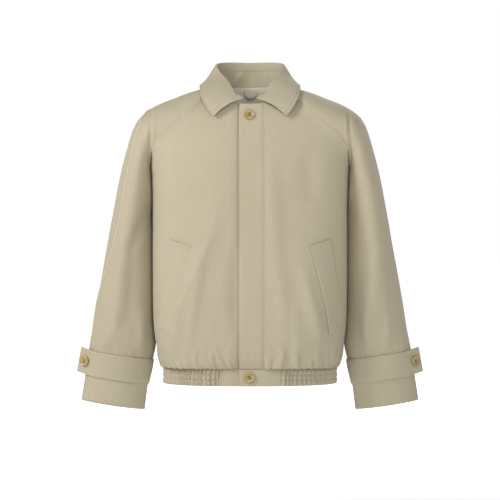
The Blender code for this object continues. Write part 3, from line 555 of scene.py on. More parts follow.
for side, hand in SIDES:
    inset = read(SEAM_INSET[side], 1, SLEEVE_LEVELS)
    cut = np.array([np.interp(line[-1, 0] - gap, line[:, 0], far)
                    for gap, line, far in zip(inset, sleeve_front, ring_length)])
    for place, start, end in (("front", None, cut - SEAM / 2), ("back", cut + SEAM / 2, None)):
        front = place == "front"
        pressed_flat = side < 0 and front
        points = lay(sleeve_ring, 58, start, end, gap=0.0 if pressed_flat else SEAM / 2,
                     close=(0.0010, 0.0025, 0.0045))
        across = lengths(points)
        ends = across, across[:, -1:] - across
        from_raglan, from_overarm = ends if front else ends[::-1]
        fade = arch(across / across[:, -1:]) ** 0.5
        folds = fold_height(points, SLEEVE_FOLDS[side][0 if front else 2:]) * (1.0 if front else fade)
        above = np.maximum(STRAP_TOP_LEVEL - level, 0.0) * SLEEVE_LENGTH
        puckers = gathers(across, above, PUCKER_PITCH, PUCKER_REACH, 11 + side) * (level < STRAP_TOP_LEVEL)
        height = folds + (swell + PUCKER_HEIGHT * puckers) * fade
        height -= RAGLAN_DIP[side] * hump(from_raglan, 0.0, RAGLAN_WIDTH) * (level < UNDERARM)
        height += OVERARM_RIDGE[side] * OVERARM_STEP[place] * seen * hump(from_overarm, 0.0, OVERARM_WIDTH)
        points = raised(points, height)
        if front:
            points += bridge(SLEEVE_LEVELS, from_raglan)
            pressed = from_raglan / PRESS_REACH * np.exp(1 - from_raglan / PRESS_REACH)
            points[..., 1] -= PRESS * pressed * beside_body
        if side < 0:
            points = mirrored(points)
        piece = cloth_piece("sleeve_%s_half_%s" % (place, hand), turn_in(points, right=not pressed_flat),
                            CLOTH, "sleeve_%s_%s" % (place, hand))
        if pressed_flat:
            overarm_front = piece
            overarm_path = points_at(points, OVERARM_STITCH)[(SLEEVE_LEVELS > 0.27) & (SLEEVE_LEVELS < 0.84)]


# ------------------
# Collar: a leaf that rolls over a stand, both of double twill. The three free
# edges of the leaf are turned in and topstitched; the stand is sewn to the neck.

COLLAR = [                  # along, neck x y z, roll x y z, edge x y z, bow
    (-0.20, -0.037, 0.0655, 0.008, -0.0360, 0.071, 0.064, -0.047, 0.093, 0.003, 0.007),
    (0.00, 0.000, 0.0725, 0.008, 0.0000, 0.077, 0.064, 0.000, 0.098, 0.004, 0.007),
    (0.20, 0.037, 0.0655, 0.008, 0.0360, 0.071, 0.064, 0.047, 0.093, 0.003, 0.007),
    (0.40, 0.070, 0.0430, 0.007, 0.0655, 0.050, 0.061, 0.089, 0.066, 0.003, 0.004),
    (0.52, 0.083, 0.0140, 0.005, 0.0735, 0.026, 0.054, 0.107, 0.022, 0.004, 0.001),
    (0.65, 0.082, -0.021, 0.001, 0.0640, -0.006, 0.034, 0.1105, -0.018, 0.0045, 0.000),
    (0.78, 0.069, -0.056, -0.012, 0.0480, -0.038, 0.013, 0.107, -0.070, -0.0205, 0.003),
    (0.90, 0.045, -0.079, -0.033, 0.0310, -0.068, -0.014, 0.093, -0.098, -0.050, 0.005),
    (1.00, 0.018, -0.088, -0.0385, 0.0150, -0.087, -0.029, 0.078, -0.107, -0.070, 0.007)]
LEAF_THICK = 0.0018
STAND_THICK = 0.0014
ROLL_RADIUS = [             # along, radius
    (0.00, 0.0036), (0.50, 0.0034), (0.65, 0.0028), (0.92, 0.0022), (1.00, 0.0014)]
LEAF_DROP = 0.016           # how far the leaf runs down inside the roll, at most
LEAF_DROP_SHARE = 0.35      # and as a share of the height of the stand
STAND_END = 0.96            # how far along the collar the stand reaches
STAND_FOLDS = [             # x and z of both ends, width, height
    (-0.042, 0.006, -0.012, 0.046, 0.006, 0.0016), (-0.014, 0.006, 0.010, 0.042, 0.008, -0.0014),
    (0.034, 0.050, 0.058, 0.014, 0.007, 0.0016)]
COLLAR_STITCH = 0.0056      # topstitching from the free edges
COLLAR_DIP = 0.0009         # how far it pulls the cloth in
COLLAR_EDGE = 0.0006        # how far the edges are pressed down
COLLAR_HOLLOW = (0.0005, 0.030, 0.010)  # depth, distance from the free edge and width
COLLAR_HIDDEN = 12          # rows of the leaf inside the roll, where no stitching shows
COLLAR_PLACES = stretches((0.0, 0.94, 60), (0.944, 1.0, 17))
STAY = ((-0.0430, -0.0430), (-0.0250, -0.0568))     # x and z of both ends of the row at the neck


def collar_frame(places):
    """Neck seam, roll line, directions up the stand and outwards, roll radius and drop."""
    neck, roll = read_points(COLLAR, places), read_points(COLLAR, places, 4)
    ahead = read_points(COLLAR, np.minimum(places + 0.01, 1.0), 4)
    behind = read_points(COLLAR, np.maximum(places - 0.01, 0.0), 4)
    up = unit(roll - neck)
    drop = np.minimum(LEAF_DROP, LEAF_DROP_SHARE * np.linalg.norm(roll - neck, axis=1, keepdims=True))
    radius = read(ROLL_RADIUS, 1, places)[:, None]
    return neck, roll, up, unit(np.cross(up, ahead - behind)), radius, drop


def leaf_lines(places):
    """Sections of the leaf: up inside the roll, over it and down to the free edge."""
    neck, roll, up, out, radius, drop = collar_frame(places)
    drop = drop * ramp(places[:, None], 1.03, -0.12)
    centre = roll - up * radius
    line = [centre - out * radius - up * drop * share for share in (1.0, 0.8, 0.6, 0.4, 0.2)]
    for turn in np.linspace(0.0, math.pi, 13):
        line.append(centre - out * radius * math.cos(turn) + up * radius * math.sin(turn))
    start, edge = line[-1], read_points(COLLAR, places, 7)
    lift = unit(unit(out * (1.0, 1.0, 0.0)) + (0.0, 0.0, 0.8))
    middle = (start + edge) / 2 + 2 * lift * read(COLLAR, 10, places)[:, None]
    for share in np.linspace(0.0, 1.0, 60)[1:]:
        line.append((1 - share) ** 2 * start + 2 * share * (1 - share) * middle + share ** 2 * edge)
    return np.stack(line, axis=1)


def stand_lines(places):
    """Sections of the stand, from its seam with the leaf down to the neck."""
    neck, roll, up, out, radius, drop = collar_frame(places)
    top = roll - up * (radius + drop + 2 * SEAM) - out * radius
    foot = neck - out * radius
    return np.stack([top + (foot - top) * share for share in np.linspace(0.0, 1.0, 30)], axis=1)


def both_sides(lines):
    """Sections from one front end of the collar round the back to the other."""
    return np.concatenate([lines[::-1], lines[1:] * MIRROR])


def sew(name, piece, paths, material, pitch=0.0027, length=0.0021, width=0.0006):
    """Rows of lockstitch along paths on a piece: one small bar, copied along them."""
    bpy.ops.object.select_all(action="DESELECT")
    bpy.ops.mesh.primitive_uv_sphere_add(segments=4, ring_count=3, radius=0.5)
    seam = bpy.context.object
    bar = np.array([vert.co for vert in seam.data.vertices]) * (length, width, 0.75 * width)
    loops = [tuple(face.vertices) for face in seam.data.polygons]
    verts, faces = [], []
    for path in paths:
        far = lengths(path[None])[0]
        for place in np.arange(pitch / 2, far[-1] - pitch / 2, pitch):
            start, end = follow(path, far, place + np.array([-length / 2, length / 2]))
            _, spot, out, _ = piece.closest_point_on_mesh((start + end) / 2)
            run = unit(end - start)
            side = unit(np.cross(np.array(out), run))
            turned = bar[:, :1] * run + bar[:, 1:2] * side + bar[:, 2:] * np.cross(run, side)
            faces += [tuple(len(verts) * len(bar) + i for i in loop) for loop in loops]
            verts.append(turned + np.array(spot))
    seam.name = name
    seam.data = bpy.data.meshes.new(name)
    seam.data.from_pydata(np.concatenate(verts), [], faces)
    seam.data.shade_smooth()
    return dress(seam, material, "khaki_cotton_twill")


def from_edges(points):
    """Distances of the points of a sheet from its left, right, top and bottom edge."""
    across, down = spans(points)
    return across, across[:, -1:] - across, down, down[-1:] - down


def rows_beside(points, distance):
    """Stitching paths along the top and the bottom of a sheet, at a distance in."""
    columns = points.swapaxes(0, 1)
    return [points_at(columns, distance), points_at(columns, -distance)]


def spun_thread(name, colour):
    """Core-spun sewing thread: a little shinier than the cloth, with fine plies."""
    material, tree, shader, place = new_material(name, {"Roughness": 0.6})
    ply = add_node(tree, "TexNoise", {"Vector": place["Object"], "Scale": 1500.0, "Detail": 1.0})
    shade = add_node(tree, "MapRange", {"Value": ply.outputs["Fac"], "To Min": 0.82, "To Max": 1.08})
    tone = add_node(tree, "Mix", {0: 1.0, 6: linear(colour), 7: shade.outputs[0]},
                    data_type="RGBA", blend_type="MULTIPLY")
    tree.links.new(tone.outputs[2], shader["Base Color"])
    bump = add_node(tree, "Bump", {"Strength": 0.4, "Distance": 0.0001, "Height": ply.outputs["Fac"]})
    tree.links.new(bump.outputs[0], shader["Normal"])
    return material


thread = spun_thread("core_spun_thread", "#CFC4A6")

leaf = lay(both_sides(leaf_lines(COLLAR_PLACES)), 54, gap=0.0,
           close=(0.0008, 0.0016, 0.0028, 0.0040, 0.0048, 0.0056, 0.0064, 0.0074, 0.0088)).swapaxes(0, 1)
left, right, _, from_edge = from_edges(leaf)
from_front = np.minimum(left, right)
near = np.minimum(from_edge, from_front)
height = -COLLAR_DIP * hump(near, COLLAR_STITCH, 0.0010) - COLLAR_EDGE * hump(near, 0.0, 0.0010)
height -= COLLAR_HOLLOW[0] * hump(from_edge, *COLLAR_HOLLOW[1:])
points = raised(leaf, height)
collar_leaf = cloth_piece("collar_leaf_cloth", points, LEAF_THICK, "collar_leaf")

# The same thread holds a stay beside the neck of the right front. Along the
# overarm seam of the right sleeve a lighter and thicker thread is a painted
# highlight where the pressed seam catches the light.
stay_y = front_half[8, 20, 1]
stay = np.linspace(*[(x, stay_y, z) for x, z in STAY], 12)
sew("neck_stay_stitching", front_right, [stay], thread)
sew("overarm_painted_highlight_stitching", overarm_front, [overarm_path], spun_thread("highlight_painted_core_spun_thread", "#E9E2CF"),
    pitch=0.0025, length=0.0024, width=0.0019)
rows = points[np.flatnonzero(from_edge[:, 0] > COLLAR_STITCH)[COLLAR_HIDDEN:]]
edge = points_at(points.swapaxes(0, 1), -COLLAR_STITCH)[from_front[-1] > COLLAR_STITCH]
path = np.concatenate([points_at(rows, COLLAR_STITCH), edge, points_at(rows, -COLLAR_STITCH)[::-1]])
sew("collar_topstitching", collar_leaf, [path], thread)

stand = both_sides(stand_lines(COLLAR_PLACES * STAND_END)).swapaxes(0, 1)[:, ::-1]
stand = raised(stand, fold_height(stand, STAND_FOLDS))
collar_stand = cloth_piece("collar_stand_cloth", stand, STAND_THICK, "collar_stand")


# ------------------
# Neck facing: a half moon of thinner, greener cotton inside the back neck, with
# a hanger loop of folded twill tacked on by its two ends. The facing's colour is
# painted lighter than its own, as painted light in the shaded neck.

FACING = 0.0008
FACING_IN = 0.0038          # from the form of the back to the face of the facing
FACING_HANG = 0.45          # 1 lies flat along the back, 0 hangs plumb from the neck seam
FACING_REACH = [            # level, half width
    (0.012, 0.052), (0.050, 0.056), (0.087, 0.056), (0.125, 0.050), (0.162, 0.038), (0.20, 0.016)]
LOOP_HALF = 0.0150
LOOP_DROP = 0.014
LOOP_WIDTH = 0.006
LOOP_X = 0.0015
LOOP_CLEAR = 0.0046         # from the form of the back to the face of the loop
LOOP_BOW = 0.0030           # how much farther out its middle stands
LOOP_ROUND = 0.0006         # and the middle of its width


def at_x(line, xs):
    """Points of a line at given x, the same on both sides of the middle."""
    return np.stack([xs] + [np.interp(np.abs(xs), line[:, 0], line[:, axis]) for axis in (1, 2)], axis=-1)


# Painted light: the facing cotton is much lighter than its own green-grey colour, to make up for the shade
# inside the neck.
facing_cloth = cotton_twill("green_grey_facing_cotton_painted_lighter", "#D6CFBC", "#CEC7B3")
levels = np.linspace(0.012, 0.20, 26)
half = body_lines(levels, False)
points = np.array([at_x(line, np.linspace(-width, width, 41))
                   for line, width in zip(half, read(FACING_REACH, 1, levels))])
points += normals(points) * FACING_IN
foot = stand_lines(np.linspace(0.0, 0.4, 40))[:, -1]
top = at_x(foot, points[0, :, 0]) + (0.0, 2 * SEAM, -2 * SEAM)
points[..., 1] -= (1 - FACING_HANG) * (points[..., 1] - top[:, 1])
points = np.concatenate([[top + (points[0] - top) * share for share in (0.0, 0.3, 0.65)], points])
neck_facing = cloth_piece("neck_facing_cloth", points, FACING, "neck_facing", facing_cloth,
                          "neck_facing_cloth")

across = np.linspace(-1.0, 1.0, 41)
rows = []
for share in np.linspace(0.0, 1.0, 7):
    z = -LOOP_DROP * (1 - across ** 4) - LOOP_WIDTH * share
    y = np.interp(-z, -half[:, 0, 2], half[:, 0, 1])
    y -= (1 - FACING_HANG) * (y - top[20, 1]) + LOOP_CLEAR + LOOP_BOW * (1.7 - across ** 4)
    y -= LOOP_ROUND * math.sin(math.pi * share)
    rows.append(np.stack([LOOP_X + LOOP_HALF * across, y, z], axis=-1))
hanger_loop = cloth_piece("hanger_loop_cloth", np.array(rows), 0.0010, "hanger_loop")


# ------------------
# Pocket welts: slanted welts of the same twill laid on the fronts, the wearer's
# left one painted darker as painted shade, open along the edge towards the side
# seam and tacked down at the two ends.

WELT = [                    # down, inner x z, outer x z
    (0.00, 0.1256, -0.3481, 0.1730, -0.3325), (0.17, 0.1351, -0.3801, 0.1791, -0.3732),
    (0.34, 0.1449, -0.4158, 0.1868, -0.4200), (0.51, 0.1534, -0.4516, 0.1936, -0.4620),
    (0.68, 0.1610, -0.4850, 0.1980, -0.4880), (0.84, 0.1650, -0.5120, 0.1995, -0.5030),
    (1.00, 0.1680, -0.5370, 0.1990, -0.5130)]
WELT_OUT = {-1: 0.0021, 1: 0.0034}      # outer face above the front
WELT_EDGE = {-1: 0.0020, 1: 0.0010}     # how far its long edges sink below that
WELT_SOFT = {-1: 0.0110, 1: 0.0016}     # width over which they do
WELT_LIFT = 0.0012          # how much its two ends stand up
WELT_END = 0.0008           # and how far they are pressed down at the very edge
WELT_STITCH = 0.0020
WELT_THICK = 0.0016

# Painted shade: the welt on the wearer's left gets a copy of the twill painted a little darker, for how
# light falls on its crosswise grain; the other welt keeps the plain twill.
welt_twill_painted_darker = cotton_twill("khaki_cotton_twill_crosswise_painted_darker", "#ADA58D", "#A49C84")


def on_front(x, z):
    """Depth of the smooth front at a place given by x and z."""
    levels_z = [np.interp(x, line[:, 0], line[:, 2]) for line in front_half]
    levels_y = [np.interp(x, line[:, 0], line[:, 1]) for line in front_half]
    return np.interp(-z, -np.array(levels_z), levels_y)


downs = np.concatenate([[0.0, 0.006, 0.012], np.linspace(0.02, 0.98, 60), [0.988, 0.994, 1.0]])
shares = np.concatenate([[0.0, 0.02, 0.04, 0.06], np.linspace(0.09, 0.91, 20), [0.94, 0.96, 0.98, 1.0]])
inner_x, inner_z, outer_x, outer_z = (read(WELT, column, downs)[:, None] for column in (1, 2, 3, 4))
x = inner_x + (outer_x - inner_x) * shares
z = inner_z + (outer_z - inner_z) * shares
left_welt = np.stack([x, np.vectorize(on_front)(x, z), z], axis=-1)
for side, hand in SIDES:
    points = left_welt if side > 0 else mirrored(left_welt)
    left, right, top, bottom = from_edges(points)
    from_side, from_end = np.minimum(left, right), np.minimum(top, bottom)
    height = WELT_OUT[side] - WELT_EDGE[side] * hump(from_side, 0.0, WELT_SOFT[side])
    height += WELT_LIFT * hump(from_end, 0.0, 0.0060) - WELT_END * hump(from_end, 0.0, 0.0012)
    points = raised(points, fold_height(points, FRONT_FOLDS) + height)
    welt = cloth_piece("pocket_welt_cloth_%s" % hand, points, WELT_THICK, "pocket_welt_%s" % hand,
                       welt_twill_painted_darker if side > 0 else twill)
    sew("pocket_stitching_%s" % hand, welt, rows_beside(points, WELT_STITCH), thread)
    top_inner = points[4:8, 1] if side > 0 else points[4:8, -2]
    sew("pocket_bar_tack_%s" % hand, welt, [top_inner], thread, pitch=0.0009, length=0.0008, width=0.0026)


# ------------------
# Cuff straps: double twill, sewn into the underarm seam, brought round the front
# of the sleeve and ending in a free tab. Two rows of topstitching run round them.

STRAP_THICK = 0.0024
STRAP_OUT = 0.0034          # outer face above the sleeve
STRAP_START = 0.015         # share of the sleeve's front half where it starts
STRAP_LEAVES = 0.750        # share where it runs straight off the sleeve
STRAP_TAB = 0.044           # straight end past that place
STRAP_RISE = 0.12           # how steeply that end turns up
STRAP_STITCH = (0.0022, 0.0085)
STRAP_DIP = 0.0004          # how far the stitching pulls it in
STRAP_EDGE = 0.0007         # how far the edges are pressed down
STRAP_WAVE = 0.0006         # height of the soft waves between the rows
STRAP_BOX = 0.024           # row across the strap, from its seam
NEAR_EDGE = (0.0006, 0.0014, 0.0022, 0.0030, 0.0040, 0.0060, 0.0076, 0.0085, 0.0094)


def level_out(run):
    """Level direction at a right angle to a run."""
    return unit(np.stack([run[..., 1], -run[..., 0], 0 * run[..., 0]], axis=-1))


def strap_lines(levels):
    """Lines of the strap along levels of the sleeve."""
    lines = sleeve_lines(levels, True)
    places = np.linspace(0.0, 1.0, lines.shape[1])
    shares = np.linspace(STRAP_START, STRAP_LEAVES, 60)
    lines = np.array([follow(line, places, shares) for line in lines])
    lines = lines + level_out(np.gradient(lines, axis=1)) * STRAP_OUT
    run = unit(lines[:, -1] - lines[:, -2]) + (0.0, 0.0, STRAP_RISE)
    tab = lines[:, -1:] + run[:, None] * STRAP_TAB * np.linspace(0.0, 1.0, 20)[1:, None]
    return np.concatenate([lines, tab], axis=1)


depth_in = np.array((0.0,) + NEAR_EDGE)
width = STRAP_BOTTOM_LEVEL - STRAP_TOP_LEVEL
levels = STRAP_TOP_LEVEL + np.concatenate([depth_in, np.linspace(0.012, width - 0.012, 24),
                                           width - depth_in[::-1]])
left_strap = lay(strap_lines(levels), 90, gap=0.0, close=NEAR_EDGE)
across, from_tab, down, up = from_edges(left_strap)
rim = np.minimum(np.minimum(down, up), from_tab)
height = STRAP_WAVE * np.sin(across / 0.021 + down / 0.013) * hump(rim, 0.028, 0.020)
height -= STRAP_EDGE * hump(rim)
for place in STRAP_STITCH:
    height -= STRAP_DIP * hump(rim, place, 0.0008)
for side, hand in SIDES:
    points = raised(left_strap, height) if side > 0 else raised(mirrored(left_strap), height[:, ::-1])
    strap = cloth_piece("cuff_strap_cloth_%s" % hand, points, STRAP_THICK, "cuff_strap_%s" % hand)
    outwards = points if side > 0 else points[:, ::-1]
    paths = []
    for place in STRAP_STITCH:
        keep = np.minimum(down, up)[:, -1] > place - 1e-6
        top, bottom = rows_beside(outwards, place)
        far = lengths(top[None])[0]
        inside = far < far[-1] - place
        paths.append(np.concatenate([top[inside], points_at(outwards[keep], -place), bottom[inside][::-1]]))
    paths.append(points_at(outwards, STRAP_BOX)[11:-11])
    sew("strap_topstitching_%s" % hand, strap, paths, thread)


# ------------------
# Hem band: two plain tabs at the front, the left lapping over the right, and a
# ribbed part round the sides and back where three rows of elastic are sewn in.

BAND_BOTTOM = -0.6465
BAND_HALF_WIDTH = 0.1885
BAND_FRONT = 0.1275
BAND_BACK = 0.1255
BAND_POWER = 2.3
BAND_STITCH = 0.0024        # topstitching from the edges of the tabs
BAND_DIP = 0.0003           # how far it pulls the cloth in
BAND_EDGE = 0.0004          # how far the edges are pressed down
TAB_THICK = {"left": 0.0020, "right": 0.0014}
TAB_END_X = 0.0655          # where the plain front of the band meets the elastic
ELASTIC_THICK = 0.0012
RIB_PITCH = 0.0088
RIB_HEIGHT = 0.0060
RIB_FOOT = 0.35             # share of their height that they keep in the stitched rows
RIB_LEAN = 0.0022           # how far a rib leans over the height of the band
CHANNELS = (0.36, 0.68)     # stitched rows between the elastics, as shares of the height
CHANNEL_SHIFT = 0.0009      # how far the ribs step aside from one elastic to the next
SIDE_FLATTER = 0.40         # share by which they are lower at the sides of the body
RIB_RISE = 0.0025           # run over which they rise beside the tabs


def band_points(angles, z, out=0.0):
    """Points of the band at angles from the centre front, growing to +X."""
    front = np.cos(angles) > 0
    depth = np.where(front, BAND_FRONT + SIDE_Y, BAND_BACK - SIDE_Y)
    x = BAND_HALF_WIDTH * power(np.sin(angles), 2 / BAND_POWER)
    y = SIDE_Y - depth * power(np.cos(angles), 2 / BAND_POWER)
    away = unit(np.stack([0.35 * x, y, 0 * x], axis=-1))
    return np.stack([x, y, z + 0 * x], axis=-1) + away * np.reshape(out, (-1, 1))


def band_angle(x):
    """Angle at which the front of the band has a given x."""
    return np.arcsin(power(x / BAND_HALF_WIDTH, BAND_POWER / 2))


heights = BAND_TOP + (BAND_BOTTOM - BAND_TOP) * np.concatenate(
    [[0.0, 0.015, 0.035, 0.06, 0.08], np.linspace(0.12, 0.88, 16), [0.92, 0.94, 0.965, 0.985, 1.0]])
for hand, start_x, end_x in (("left", OVERLAP_X, TAB_END_X), ("right", -TAB_END_X, UNDER_X)):
    xs = np.linspace(start_x, end_x, 60)
    out = PLACKET_OUT if hand == "left" else -UNDER_IN * sinking(xs)
    lines = np.array([band_points(band_angle(xs), z, out) for z in heights])
    points = lay(lines, 30, gap=0.0, close=(0.0007, 0.0016, 0.0024, 0.0033))
    left, right, top, bottom = from_edges(points)
    rim = np.minimum(np.minimum(top, bottom), left if hand == "left" else right)
    points = raised(points, -BAND_EDGE * hump(rim) - BAND_DIP * hump(rim, BAND_STITCH, 0.0008))
    tab = cloth_piece("hem_tab_cloth_%s" % hand, points, TAB_THICK[hand], "hem_tab_%s" % hand)
    paths = rows_beside(points, BAND_STITCH)
    if hand == "left":
        paths.append(points_at(points, BAND_STITCH)[5:-5])
    sew("hem_tab_stitching_%s" % hand, tab, paths, thread)

start = float(band_angle(TAB_END_X))
ring = band_points(np.linspace(start, 2 * math.pi - start, 2000), 0.0)
far = lengths(ring[None])[0]
places = np.linspace(SEAM, far[-1] - SEAM, 1200)
ring = follow(ring, far, places)
out = level_out(np.gradient(ring, axis=0))
draw = np.random.default_rng(21)
ribs = []
place = 0.2 * RIB_PITCH
while place < far[-1]:
    wide = RIB_PITCH * draw.uniform(0.72, 1.28)
    ribs.append((place + wide / 2, draw.uniform(0.62, 1.0), draw.uniform(0.4, 1.8), wide / 2))
    place += wide
edges = (0.0,) + CHANNELS + (1.0,)
shares = np.unique(np.round(np.concatenate([np.linspace(0.0, 1.0, 29), CHANNELS, (0.012, 0.988)]), 4))
sides = 1 - SIDE_FLATTER * hump(np.abs(ring[:, 0]), BAND_HALF_WIDTH, 0.020)
sides *= ramp(np.minimum(places, far[-1] - places), 0.0, RIB_RISE)
rows = []
for share in shares:
    channel = min(np.searchsorted(CHANNELS, share, side="right"), 2)
    low, high = edges[channel], edges[channel + 1]
    swell = RIB_FOOT + (1 - RIB_FOOT) * math.sin(math.pi * (share - low) / (high - low)) ** 0.6
    height = np.zeros(len(ring))
    for place, size, lean, half_wide in ribs:
        centre = place + CHANNEL_SHIFT * (channel - 1) + RIB_LEAN * lean * (0.5 - share)
        off = np.clip((places - centre) / half_wide, -1.0, 1.0)
        height = np.maximum(height, size * np.cos(0.5 * math.pi * off))
    rise = RIB_HEIGHT * swell * sides * height
    point = ring + out * rise[:, None]
    point[:, 2] = BAND_TOP + (BAND_BOTTOM - BAND_TOP) * share
    rows.append(point)
band = cloth_piece("hem_elastic_band", np.array(rows), ELASTIC_THICK, "hem_elastic")


# ------------------
# Buttons: four-hole coat buttons, turned from tan horn with a raised rim, sewn
# on with dark thread. One each at the neck, on the hem tab and on the straps.

BUTTON_RADIUS = 0.012
BUTTON_THICK = 0.0036
BUTTON_STAND_OFF = 0.0008
BUTTON_EDGE = (0.42, 0.72)  # lower and upper end of its outer edge, as shares of the thickness
BUTTON_STEPS = (            # steps turned into its face from the edge inwards: width, depth
    (0.0012, 0.0), (0.0014, 0.0), (0.0016, -0.0011), (0.0012, -0.0002), (0.0030, 0.0))
HOLE_RADIUS = 0.0012
HOLE_SPACING = 0.0046
THREAD_RADIUS = 0.00046
THREAD_STEP = 0.0004        # from the middle of a pair of holes to each of its two strands
THREAD_LIFT = 0.40          # height of the thread's middle, as a share of the thickness
THREAD_FLAT = 0.62          # how much it is pressed down
BUTTON_X = -0.0015
NECK_BUTTON_Z = -0.0665
HEM_BUTTON_Z = -0.6275
STRAP_BUTTON = 0.0175       # button centre from the free end of the strap
# Rings of tone across the button: darker in the groove, at the outer edge and in the middle, lightest on the
# rim's top; painted shade and highlight of the turned rim.
PAINTED_RIM_SHADE = ((0.0, 0.62), (0.42, 0.80), (0.60, 0.92), (0.70, 0.55), (0.76, 0.70), (0.84, 1.0), (0.94, 0.80),
             (1.0, 0.45))   # share of the radius, tone of painted shade and highlight


def horn(name):
    """Polished tan horn: cloudy streaks of lighter and browner tone, a soft gloss, and rings of painted
    shade and highlight by radius.
    """
    material, tree, shader, place = new_material(name, {"Roughness": 0.32, "Coat Weight": 0.25})
    drawn = add_node(tree, "Mapping", {"Vector": place["Object"], "Scale": (1.0, 1.0, 0.35)})
    cloud = add_node(tree, "TexNoise", {"Vector": drawn.outputs[0], "Scale": 220.0, "Detail": 4.0,
                                        "Distortion": 1.5})
    spread = add_node(tree, "MapRange", {"Value": cloud.outputs["Fac"], "From Min": 0.3, "From Max": 0.7})
    tone = add_node(tree, "Mix", {0: spread.outputs[0], 6: linear("#A18B59"), 7: linear("#BEAA74")},
                    data_type="RGBA")
    # Painted shade and highlight: the tone rings by radius darken the groove, the edge and the middle.
    radius = add_node(tree, "Attribute", {}, attribute_name="radius")
    ring = add_node(tree, "ValToRGB", {"Fac": radius.outputs["Fac"]})
    stops = ring.color_ramp.elements
    for share, _ in PAINTED_RIM_SHADE[1:-1]:
        stops.new(share)
    for stop, (share, value) in zip(stops, PAINTED_RIM_SHADE):
        stop.position, stop.color = share, (value, value * 0.97, value * 0.92, 1.0)
    shaded = add_node(tree, "Mix", {0: 1.0, 6: tone.outputs[2], 7: ring.outputs[0]},
                      data_type="RGBA", blend_type="MULTIPLY")
    tree.links.new(shaded.outputs[2], shader["Base Color"])
    return material


def select_faces(mesh, facing):
    """Select only the faces that look straight up or down, in edit mode."""
    bpy.ops.object.mode_set(mode="OBJECT")
    for face in mesh.polygons:
        face.select = facing * face.normal.z > 0.9
    bpy.ops.object.mode_set(mode="EDIT")


def join(pieces):
    """Join the pieces into one object."""
    bpy.ops.object.select_all(action="DESELECT")
    for piece in pieces:
        piece.select_set(True)
    bpy.ops.object.join()
    return bpy.context.object


bpy.ops.object.select_all(action="DESELECT")
bpy.ops.mesh.primitive_cylinder_add(vertices=48, radius=BUTTON_RADIUS, depth=BUTTON_THICK,
                                    location=(0.0, 0.0, BUTTON_THICK / 2))
blank = bpy.context.object
bpy.ops.object.transform_apply(location=True, rotation=True, scale=True)
bpy.ops.object.mode_set(mode="EDIT")
bpy.ops.mesh.select_mode(type="FACE")
select_faces(blank.data, 1)
for inset, sink in BUTTON_STEPS:
    bpy.ops.mesh.inset(thickness=inset, depth=sink)
select_faces(blank.data, -1)
bpy.ops.mesh.inset(thickness=0.0022, depth=0.0)
bpy.ops.object.mode_set(mode="OBJECT")
for vert in blank.data.vertices:
    if math.hypot(vert.co.x, vert.co.y) > BUTTON_RADIUS - 0.0001:
        vert.co.z = BUTTON_THICK * BUTTON_EDGE[vert.co.z > BUTTON_THICK / 2]
soften = blank.modifiers.new("Turned edges", "BEVEL")
soften.width = 0.0004
soften.segments = 3
soften.limit_method = "ANGLE"
soften.angle_limit = math.radians(18)
bpy.ops.object.modifier_apply(modifier=soften.name)
drills = []
for x, y in ((1, 1), (-1, 1), (-1, -1), (1, -1)):
    bpy.ops.mesh.primitive_cylinder_add(vertices=16, radius=HOLE_RADIUS, depth=4 * BUTTON_THICK,
                                        location=(x * HOLE_SPACING / 2, y * HOLE_SPACING / 2, 0.0))
    drills.append(bpy.context.object)
drill = join(drills)
bpy.context.view_layer.objects.active = blank
holes = blank.modifiers.new("Holes", "BOOLEAN")
holes.operation = "DIFFERENCE"
holes.object = drill
bpy.ops.object.modifier_apply(modifier=holes.name)
bpy.data.objects.remove(drill, do_unlink=True)
bpy.ops.object.select_all(action="DESELECT")
blank.select_set(True)
bpy.ops.object.shade_smooth_by_angle(angle=math.radians(35))
rings = blank.data.attributes.new("radius", "FLOAT", "POINT")
for vert in blank.data.vertices:
    rings.data[vert.index].value = math.hypot(vert.co.x, vert.co.y) / BUTTON_RADIUS

bars = []
for x in (-HOLE_SPACING / 2, HOLE_SPACING / 2):
    for step in (-THREAD_STEP, THREAD_STEP):
        bpy.ops.mesh.primitive_torus_add(major_segments=20, minor_segments=8, major_radius=HOLE_SPACING / 2,
                                         minor_radius=THREAD_RADIUS, rotation=(0.0, math.pi / 2, 0.0),
                                         location=(x + step, 0.0, BUTTON_THICK * THREAD_LIFT))
        bars.append(bpy.context.object)
shank = join(bars)
bpy.ops.object.transform_apply(location=True, rotation=True, scale=True)
for vert in shank.data.vertices:
    vert.co.z = BUTTON_THICK * THREAD_LIFT + THREAD_FLAT * (vert.co.z - BUTTON_THICK * THREAD_LIFT)

horn_material = horn("tan_button_horn")
dark_thread = spun_thread("dark_button_thread", "#44362B")
neck_row = np.argmin(np.abs(front_half[:, 0, 2] - NECK_BUTTON_Z))
neck_point = (BUTTON_X, front_half[neck_row, 0, 1] - PLACKET_OUT, NECK_BUTTON_Z)
hem_point = band_points(band_angle(np.array([BUTTON_X])), HEM_BUTTON_Z, PLACKET_OUT)[0]
line = strap_lines(np.array([(STRAP_TOP_LEVEL + STRAP_BOTTOM_LEVEL) / 2]))[0]
strap_run = line[-1] - line[-2]
strap_point = line[-1] - unit(strap_run) * STRAP_BUTTON
places = [                  # name, place, direction it faces, turn in its buttonhole
    ("neck", neck_point, (0.0, -1.0, 0.35), 0.15), ("hem", hem_point, (0.0, -1.0, 0.0), 0.62)]
for side, hand in SIDES:
    places.append(("cuff_" + hand, strap_point * (side, 1, 1), (side * strap_run[1], -strap_run[0], 0.0),
                   0.4 * side))
